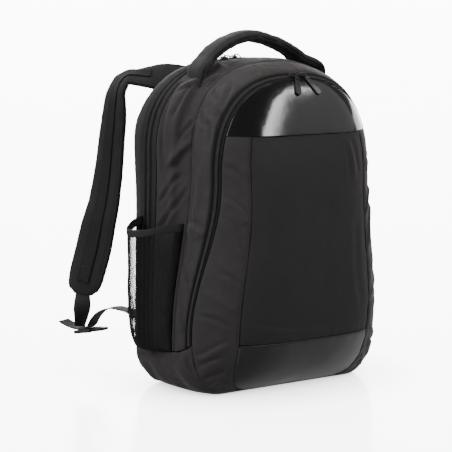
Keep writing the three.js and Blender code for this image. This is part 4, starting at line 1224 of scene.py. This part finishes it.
WEB_THICK = 0.0016
LOCK_RISE = 0.17
GAP = 0.0003


def strap_rows(side, count):
    place = np.linspace(0, len(STRAP_PATH) - 1, count)
    out, back, up, face, tip, wide, thick = (between(c, place) for c in zip(*STRAP_PATH))
    angle = np.radians(face)
    x = side * (STRAP_ROOT_X + out * STRAP_SPREAD)
    middle = np.stack([x, REAR_DEPTH + BACK_PUFF + back * STRAP_REACH, up * HEIGHT], -1)
    across = np.stack([-side * np.cos(angle), np.sin(angle), tip], -1)
    return place, middle, across, wide * STRAP_WIDTH, thick * STRAP_THICK


def box_stitch(name, path, across, out, first, last, half, lift):
    """A sewn box with a cross in it on a band, between two rows."""
    i0, i1 = first, last
    a = path[i0] - across[i0] * half + out[i0] * lift[i0]
    b = path[i0] + across[i0] * half + out[i0] * lift[i0]
    c = path[i1] + across[i1] * half + out[i1] * lift[i1]
    d = path[i1] - across[i1] * half + out[i1] * lift[i1]
    n = np.sign(lift[i0]) * out[(i0 + i1) // 2]
    objects = []
    for p, q in ((a, b), (b, c), (c, d), (d, a), (a, c), (b, d)):
        t = np.linspace(0, 1, 20)[:, None]
        line = p * (1 - t) + q * t
        objects.append(stitches(name, line, np.repeat(n[None], 20, 0), THREAD, pitch=0.003, long=0.0023))
    return joined(name, objects)


def rounded_box(centre, size, radius, material):
    """A box with rounded edges."""
    mesh = bpy.data.meshes.new("part")
    bm = bmesh.new()
    bmesh.ops.create_cube(bm, size=1.0)
    for v in bm.verts:
        v.co = Vector([v.co[k] * size[k] + centre[k] for k in range(3)])
    bmesh.ops.bevel(bm, geom=bm.edges[:], offset=radius, segments=3, affect="EDGES", profile=0.5)
    bm.to_mesh(mesh)
    bm.free()
    mesh.polygons.foreach_set("use_smooth", [True] * len(mesh.polygons))
    mesh.materials.append(material)
    obj = bpy.data.objects.new("part", mesh)
    bpy.context.collection.objects.link(obj)
    return obj


def placed_object(obj, matrix):
    obj.data.transform(matrix)
    obj.data.update()
    return obj


def disc(radius, thick, material, count=36, bevel=0.0008):
    """A round plate with rounded rims about the origin."""
    turn = circle(count)
    half = thick / 2
    upper = (
        (0.0004, half), (radius * 0.6, half), (radius - bevel, half),
        (radius - bevel * 0.3, half - bevel * 0.3), (radius, half - bevel),
    )
    lower = [(r, -z) for r, z in upper[::-1] if r != upper[1][0]]
    rows = [
        np.stack([np.cos(turn) * r, np.sin(turn) * r, np.full(count, z)], -1) for r, z in (*upper, *lower)
    ]
    faces = [f[::-1] for f in tube_faces(len(rows), count)]
    return mesh_object("part", np.array(rows).reshape(-1, 3), faces, material)


def shoulder_strap(name, side):
    place, middle, across, wide, thick = strap_rows(side, 700)
    path, across, sizes = resample(middle, 0.0029, (across, np.stack([wide, thick, place], -1)))
    wide, thick, place = sizes.T
    pad, across, out = padded_band(
        f"strap_pad_{name}_foam", path, across, wide, thick, PAD_CLOTH, 151, count=64, puff=0.0007
    )
    done(pad, [f"strap_pad_{name}"])
    bead = rim_bead(f"strap_binding_{name}", path[:-2], across[:-2], out[:-2], wide[:-2], 0.0026, TAPE)
    done(bead, [f"strap_pad_{name}"])
    sewn = (place >= 2) & (place <= 11.6)
    lift = -side * (thick / 2 + 0.0011)
    strip_path = path[sewn] + out[sewn] * lift[sewn][:, None]
    facing, fa, _ = webbing_strip(f"strap_webbing_{name}", strip_path, across[sewn], material=STRAP_WEB)
    threads = []
    for edge in (-1, 1):
        line = strip_path + fa * (edge * 0.0103) + out[sewn] * (-side * 0.00075)
        threads.append(stitches("strap_stitch", line, -side * out[sewn], THREAD))
    rows = np.flatnonzero(sewn)
    top_lift = -side * (thick / 2 + 0.0019)
    threads.append(box_stitch("strap_box", path, across, out, rows[-9], rows[-1], 0.0095, top_lift))
    threads.append(box_stitch("strap_box", path, across, out, rows[1], rows[8], 0.0095, top_lift))
    done(joined(f"strap_webbing_{name}", [facing] + threads), [f"strap_facing_{name}"])

    end = path[-1]
    lock_end = end + np.array([side * 0.006, 0, -0.054])
    corner = np.array([side * 0.148, REAR_DEPTH + BACK_PUFF + WEB_THICK, 0.088])
    course = np.array([corner[0] - lock_end[0], corner[1] - lock_end[1], 0.0])
    bar = unit(np.array([side * course[1], -side * course[0], 0.0]))
    over = lock_end[2] + 0.0025 + GAP + WEB_THICK / 2

    t = np.linspace(0, 1, 30)[:, None]
    start_z, end_z = end[2] + 0.006, over + WEB_THICK / 2 + 8 * GAP
    drop = np.hstack([mix(end[0], lock_end[0], t), np.full((30, 1), end[1]), mix(start_z, end_z, t)])
    drop = drop + bar * 0.0012 * np.sin(np.pi * t)
    drop_across = unit(across[-1] * (1 - t) + bar * t)
    web, _, _ = webbing_strip(f"strap_drop_{name}_web", drop, drop_across)
    done(web, [f"strap_drop_{name}"])

    share = np.linspace(0, len(LOAD_PATH) - 1, 110)
    run, up = (between(c, share) for c in zip(*LOAD_PATH))
    load = corner - course * run[:, None]
    low = over + np.maximum(0, 1 - run) * np.linalg.norm(course) * LOCK_RISE
    load[:, 2] = mix(low, corner[2], up)
    web, _, _ = webbing_strip(f"load_web_{name}_strip", load, np.repeat(bar[None], len(load), 0))
    done(web, [f"load_web_{name}"])

    parts = []
    for edge in (-1, 1):
        parts.append(rounded_box((0.015, edge * 0.0145, 0), (0.030, 0.003, 0.005), 0.0011, PLASTIC))
    for x, long in ((0.0021, 0.0042), (0.015, 0.0047), (0.0279, 0.0042)):
        parts.append(rounded_box((x, 0, 0), (long, 0.0295, 0.0046), 0.0012, PLASTIC))
    flap = disc(0.0126, 0.0034, PLASTIC)
    parts.append(placed_object(flap, Matrix.Translation((0.050 - 0.0128, 0, 0))))
    for x in (0.0345, 0.038, 0.0415, 0.045):
        parts.append(rounded_box((x, 0, 0.0017), (0.0013, 0.0145, 0.0012), 0.0004, PLASTIC))
    lock = joined(f"ladder_lock_{name}_frame", parts)
    turn = Matrix.Rotation(math.atan2(course[1], course[0]), 4, "Z")
    turn = turn @ Matrix.Rotation(-math.atan(LOCK_RISE), 4, "Y")
    placed_object(lock, Matrix.Translation(lock_end) @ turn)
    done(lock, [f"ladder_lock_{name}"])


shoulder_strap("left", -1)
shoulder_strap("right", 1)

# Zip sliders and pulls
def matrix_of(x, y, z, at):
    """The place of a thing whose own axes lie along x, y and z."""
    return Matrix((*zip(x, y, z, at), (0, 0, 0, 1)))


def wall_frame(ring, seam, lift):
    z = wall_normal(ring, seam)
    x = unit(ring_point(ring + 0.02, seam) - ring_point(ring - 0.02, seam))
    y = unit(np.cross(z, x))
    x = np.cross(y, z)
    return matrix_of(x, y, z, ring_point(ring, seam) + z * lift)


def stack(outline, layers, material):
    """A plate from an outline carried through layers of (inset, height)."""
    outline = np.asarray(outline, float)
    centre = outline.mean(0)
    away = unit(outline - centre)
    rows = [np.insert(outline - away * inset, 2, z, 1) for inset, z in layers]
    return mesh_object("part", np.array(rows).reshape(-1, 3), tube_faces(len(rows), len(outline)), material)


def slider_body():
    a, b = 0.0065, 0.0045
    half = [(-a, -b * 0.6), (a * 0.4, -b), (a, -b * 0.7)]
    corners = np.array(half + [(x, -y) for x, y in half[::-1]] + half[:1])
    outline, = resample(np.concatenate([corners, np.zeros((7, 1))], 1), 0.0009)
    outline = outline[:-1, :2]
    lower = stack(outline, ((0.0006, 0.0), (0.0, 0.0004), (0.0, 0.001), (0.0006, 0.0013)), DARK_METAL)
    upper = stack(outline, ((0.0006, 0.0021), (0.0, 0.0024), (0.0, 0.003), (0.0007, 0.0034)), DARK_METAL)
    neck = rounded_box((0.0015, 0, 0.0018), (0.006, 0.003, 0.003), 0.0005, DARK_METAL)
    bridge = rounded_box((0.0, 0, 0.0042), (0.0085, 0.0022, 0.0012), 0.0005, DARK_METAL)
    parts = [lower, upper, neck, bridge]
    for x in (-0.0036, 0.0036):
        parts.append(rounded_box((x, 0, 0.0036), (0.0014, 0.0022, 0.002), 0.0004, DARK_METAL))
    return joined("slider", parts)


def pull_body(material):
    """A flat pull with an eye at its root and a sunk field, from the origin along +X."""
    half, long, thick = 0.0045, 0.031, 0.0024
    count = 72
    turn = circle(count)
    eye_at = np.array([half, 0.0])
    direction = np.stack([np.cos(turn), np.sin(turn)], -1)
    far = []
    for d in direction:
        reach = 1.0
        for r in np.linspace(0.03, 0.0005, 500):
            x, y = eye_at + d * r
            limit = mix(half * 0.62, half, np.clip(x / (long - half), 0, 1))
            tip = long - half
            inside = (0 <= x <= tip and abs(y) <= limit) or (x > tip and (x - tip) ** 2 + y**2 <= half**2)
            if inside:
                reach = r
                break
        far.append(eye_at + d * reach)
    far = np.array(far)
    near = eye_at + direction * half * 0.38
    middle = far.mean(0)
    inward = unit(middle - far)
    rows = []
    for base, inset, z in (
        (near, 0.0, 0.0003), (near, 0.0, thick - 0.0003), (near, 0.0004, thick), (far, 0.0014, thick),
        (far, 0.0005, thick), (far, 0.0, thick - 0.0005), (far, 0.0, 0.0005), (far, 0.0005, 0.0),
        (near, 0.0004, 0.0),
    ):
        flat = base + (inward * inset if base is far else direction * inset)
        rows.append(np.concatenate([flat, np.full((count, 1), z)], 1))
    rows.append(rows[0])
    points = np.array(rows)
    faces = [tuple(f)[::-1] for f in grid_faces(len(rows), count, 0, closed=True)]
    body = mesh_object("part", points.reshape(-1, 3), faces, material)
    rim = rounded_box((long * 0.6, 0, thick + 0.0001), (long * 0.46, 0.0034, 0.0006), 0.0002, material)
    return joined("pull", [body, rim])


def normal_at_door(side, ring):
    return normal_of(door_point, np.float64(side), np.float64(ring), -1)


FRONT_SLIDERS = ((-0.0046, -0.14, 0.46, 2.2, False), (0.036, 0.34, 0.48, 3.6, True))
for i, (ring, pull_side, pull_ring, before, metal) in enumerate(FRONT_SLIDERS):
    seat = wall_frame(ring, 4.5, 0.0006)
    body = placed_object(slider_body(), seat)
    body.name = f"front_slider_{i + 1}_body"
    done(body, [f"front_slider_{i + 1}"])
    start = np.array(seat @ Vector((0.013 / 5, -0.0045 - before * GAP, 0.0018)))
    out = normal_at_door(pull_side, pull_ring)
    target = door_point(pull_side, pull_ring) + out * 0.0024
    x = unit(target - start)
    y = unit(np.cross(out, x))
    z = np.cross(x, y)
    pull = placed_object(pull_body(METAL if metal else PLASTIC), matrix_of(x, y, z, start))
    pull.name = f"front_pull_{i + 1}_tab"
    done(pull, [f"front_pull_{i + 1}"])

RING_RADIUS = 0.0055
RING_LEAN = 0.6
for i, ring in enumerate((-0.1, -0.046)):
    seat = wall_frame(ring, 1.5, 0.0)
    body = placed_object(slider_body(), seat)
    body.name = f"main_slider_{i + 1}_body"
    done(body, [f"main_slider_{i + 1}"])
    turn = circle(48)
    line = np.stack([0.0046 * np.cos(turn), 0.0046 * np.sin(turn), 0 * turn], -1)
    round_turn = circle(12)
    radial = np.stack([np.cos(turn), np.sin(turn), 0 * turn], -1)
    outwards = radial[:, None] * np.cos(round_turn)[:, None]
    upwards = np.array([0, 0, 1.0]) * np.sin(round_turn)[:, None]
    grid = line[:, None] + 0.0009 * (outwards + upwards)
    whole = np.concatenate([grid, grid[:1]]).reshape(-1, 3)
    ring_piece = mesh_object(f"main_ring_{i + 1}_wire", whole, grid_faces(49, 12, 0, closed=True), METAL)
    hang = Matrix.Translation((0, -0.0045 - RING_RADIUS, RING_RADIUS * math.sin(RING_LEAN) + GAP))
    lean = hang @ Matrix.Rotation(RING_LEAN, 4, "X")
    placed_object(ring_piece, seat @ lean)
    done(ring_piece, [f"main_ring_{i + 1}"])

# Seams' stitching
def door_line(a, b, lift=0.0009):
    return surface_line(door_point, a, b, lift, clamp=(0.12, 2.97))


threads = []
line, n = wall_line(3.06, 0.0014, -2.05, 2.05)
threads.append(stitches("mid_seam_thread", line, n, THREAD))
line, n = wall_line(0.9, 0.0012, -2.05, 2.05)
threads.append(stitches("rear_thread", line, n, THREAD))
t = np.linspace(DOOR_TOP_SEAM + 0.03, DOOR_LOW_SEAM - 0.02, 300)
for sign in (-1, 1):
    line, n = door_line(sign * (door_share(t) + 0.022), t, 0.0013)
    threads.append(stitches("door_side_thread", line, n, THREAD))
t = np.linspace(-0.96, 0.96, 300)
line, n = door_line(t, np.full(300, DOOR_TOP_SEAM + 0.018), 0.0009)
threads.append(stitches("patch_thread", line, n, THREAD))
t = np.linspace(-0.67, 0.67, 240)
line, n = door_line(t, np.full(240, DOOR_LOW_SEAM - 0.014), 0.0007)
threads.append(stitches("foot_thread", line, n, THREAD))
done(joined("seam_stitching", threads), [])

# Floor and light
FLOOR_HALF = 90.0
FLOOR_GLOW = (1.0, 6.0)
BACKDROP_GLOW = 9.0
floor_material, nodes, links, shader = new_material("studio_floor")
shader.inputs["Base Color"].default_value = (0.9, 0.9, 0.9, 1)
shader.inputs["Roughness"].default_value = 0.16
shader.inputs["Emission Color"].default_value = (1, 1, 1, 1)
# Painted contact shadow: the floor's glow is lowered near the bag by ambient occlusion, from the open value
# down to the low one.
painted_contact_shadow = texture(nodes, "ShaderNodeAmbientOcclusion", Distance=0.1, samples=8)
links.new(ranged(nodes, links, painted_contact_shadow.outputs["AO"], *FLOOR_GLOW), shader.inputs["Emission Strength"])
grid = [(x * FLOOR_HALF, y * FLOOR_HALF, -0.0004) for x, y in ((-1, -1), (1, -1), (1, 1), (-1, 1))]
floor = mesh_object("floor", grid, [(0, 1, 2, 3)], floor_material)
floor.visible_diffuse = False
floor.visible_glossy = False
floor.visible_shadow = False

world = bpy.data.worlds.new("studio")
bpy.context.scene.world = world
world.use_nodes = True
nodes, links = world.node_tree.nodes, world.node_tree.links
background = nodes["Background"]
seen = texture(nodes, "ShaderNodeLightPath")
sky = texture(nodes, "ShaderNodeTexCoord")
parts = nodes.new("ShaderNodeSeparateXYZ")
links.new(sky.outputs["Generated"], parts.inputs["Vector"])
sideways = texture(nodes, "ShaderNodeMath", operation="ABSOLUTE")
links.new(parts.outputs["X"], sideways.inputs[0])
bounce = ranged(nodes, links, sideways.outputs[0], 0.25, 0.95, 0.42, 0.75)
lift = ranged(nodes, links, parts.outputs["Z"], 0.0, 0.1, -0.35, 0.1)
links.new(bounce, lift.node.inputs["To Min"])
strength = ranged(nodes, links, seen.outputs["Is Camera Ray"], 0.0, BACKDROP_GLOW)
links.new(lift, strength.node.inputs["To Min"])
background.inputs["Color"].default_value = (1, 1, 1, 1)
links.new(strength, background.inputs["Strength"])


def direction(compass, height):
    a, e = math.radians(compass), math.radians(height)
    return np.array([math.sin(a) * math.cos(e), -math.cos(a) * math.cos(e), math.sin(e)])


def softbox(name, compass, height, distance, size, radiance, aim=(0, 0, 0.25)):
    light = bpy.data.lights.new(name, "AREA")
    light.shape = "RECTANGLE"
    light.size, light.size_y = size
    light.energy = radiance * math.pi * size[0] * size[1]
    obj = bpy.data.objects.new(name, light)
    bpy.context.collection.objects.link(obj)
    d = Vector(direction(compass, height))
    obj.location = Vector(aim) + d * distance
    obj.rotation_euler = (-d).to_track_quat("-Z", "Y").to_euler()


def card(name, left, right, radiance, distance=2.2, aim=(-0.02, -0.08, 0.385), fade=0.04):
    """A lamp of free outline, its edges given as compass and height angles. It darkens from left to
    right down to the share fade."""
    material = bpy.data.materials.new(name)
    material.use_nodes = True
    nodes, links = material.node_tree.nodes, material.node_tree.links
    nodes.remove(nodes["Principled BSDF"])
    lamp = nodes.new("ShaderNodeEmission")
    lamp.inputs["Strength"].default_value = radiance
    if fade < 1:
        place = texture(nodes, "ShaderNodeUVMap", uv_map="cloth")
        split = nodes.new("ShaderNodeSeparateXYZ")
        links.new(place.outputs["UV"], split.inputs["Vector"])
        fall = ranged(nodes, links, split.outputs["X"], radiance, radiance * fade, 0.12, 0.56)
        fall.node.interpolation_type = "SMOOTHERSTEP"
        links.new(fall, lamp.inputs["Strength"])
    links.new(lamp.outputs["Emission"], nodes["Material Output"].inputs["Surface"])
    shares = np.linspace(0, 1, 13)
    rows, uv = [], []
    for l, r in zip(left, right):
        a, b = direction(*l), direction(*r)
        rows.append([np.array(aim) + unit(a * (1 - t) + b * t) * distance for t in shares])
        uv.append([(t, 0) for t in shares])
    rows = np.array(rows)
    lamp_mesh = mesh_object(name, rows, grid_faces(len(rows), 13), material, np.array(uv))
    lamp_mesh.visible_camera = False
    return lamp_mesh


band_left = ((-9, 20), (-6.5, 27.3), (2, 33.5), (12, 41), (26.2, 48.9), (44, 52), (62, 50.5), (70, 47))
band_right = ((58, 12), (60, 17), (63, 22), (66, 28), (69, 33), (73, 37), (78, 40), (84, 41))
band = card("key_card", band_left, band_right, 10.5, fade=0.055)
back_heights = (0.1, 9, 18)
back_edges = [[(compass, height) for height in back_heights] for compass in (118, 176)]
behind = card("back_card", *back_edges, 8, 85.0, (0, 0, 0.0), 1.0)
softbox("grey_right", 72, 30, 2.6, (1.7, 1.9), 0.42, (0, 0, 0.38))
softbox("edge_right", 103, 8, 2.4, (0.9, 0.7), 3.0)
softbox("left_front", -90, 28, 2.6, (1.6, 1.8), 4.2)
softbox("left_rear", -128, 30, 2.6, (1.4, 1.6), 1.3)
softbox("top", 180, 76, 2.2, (1.5, 1.5), 2.8)
softbox("rear", -170, 38, 2.8, (1.8, 1.5), 2.7)
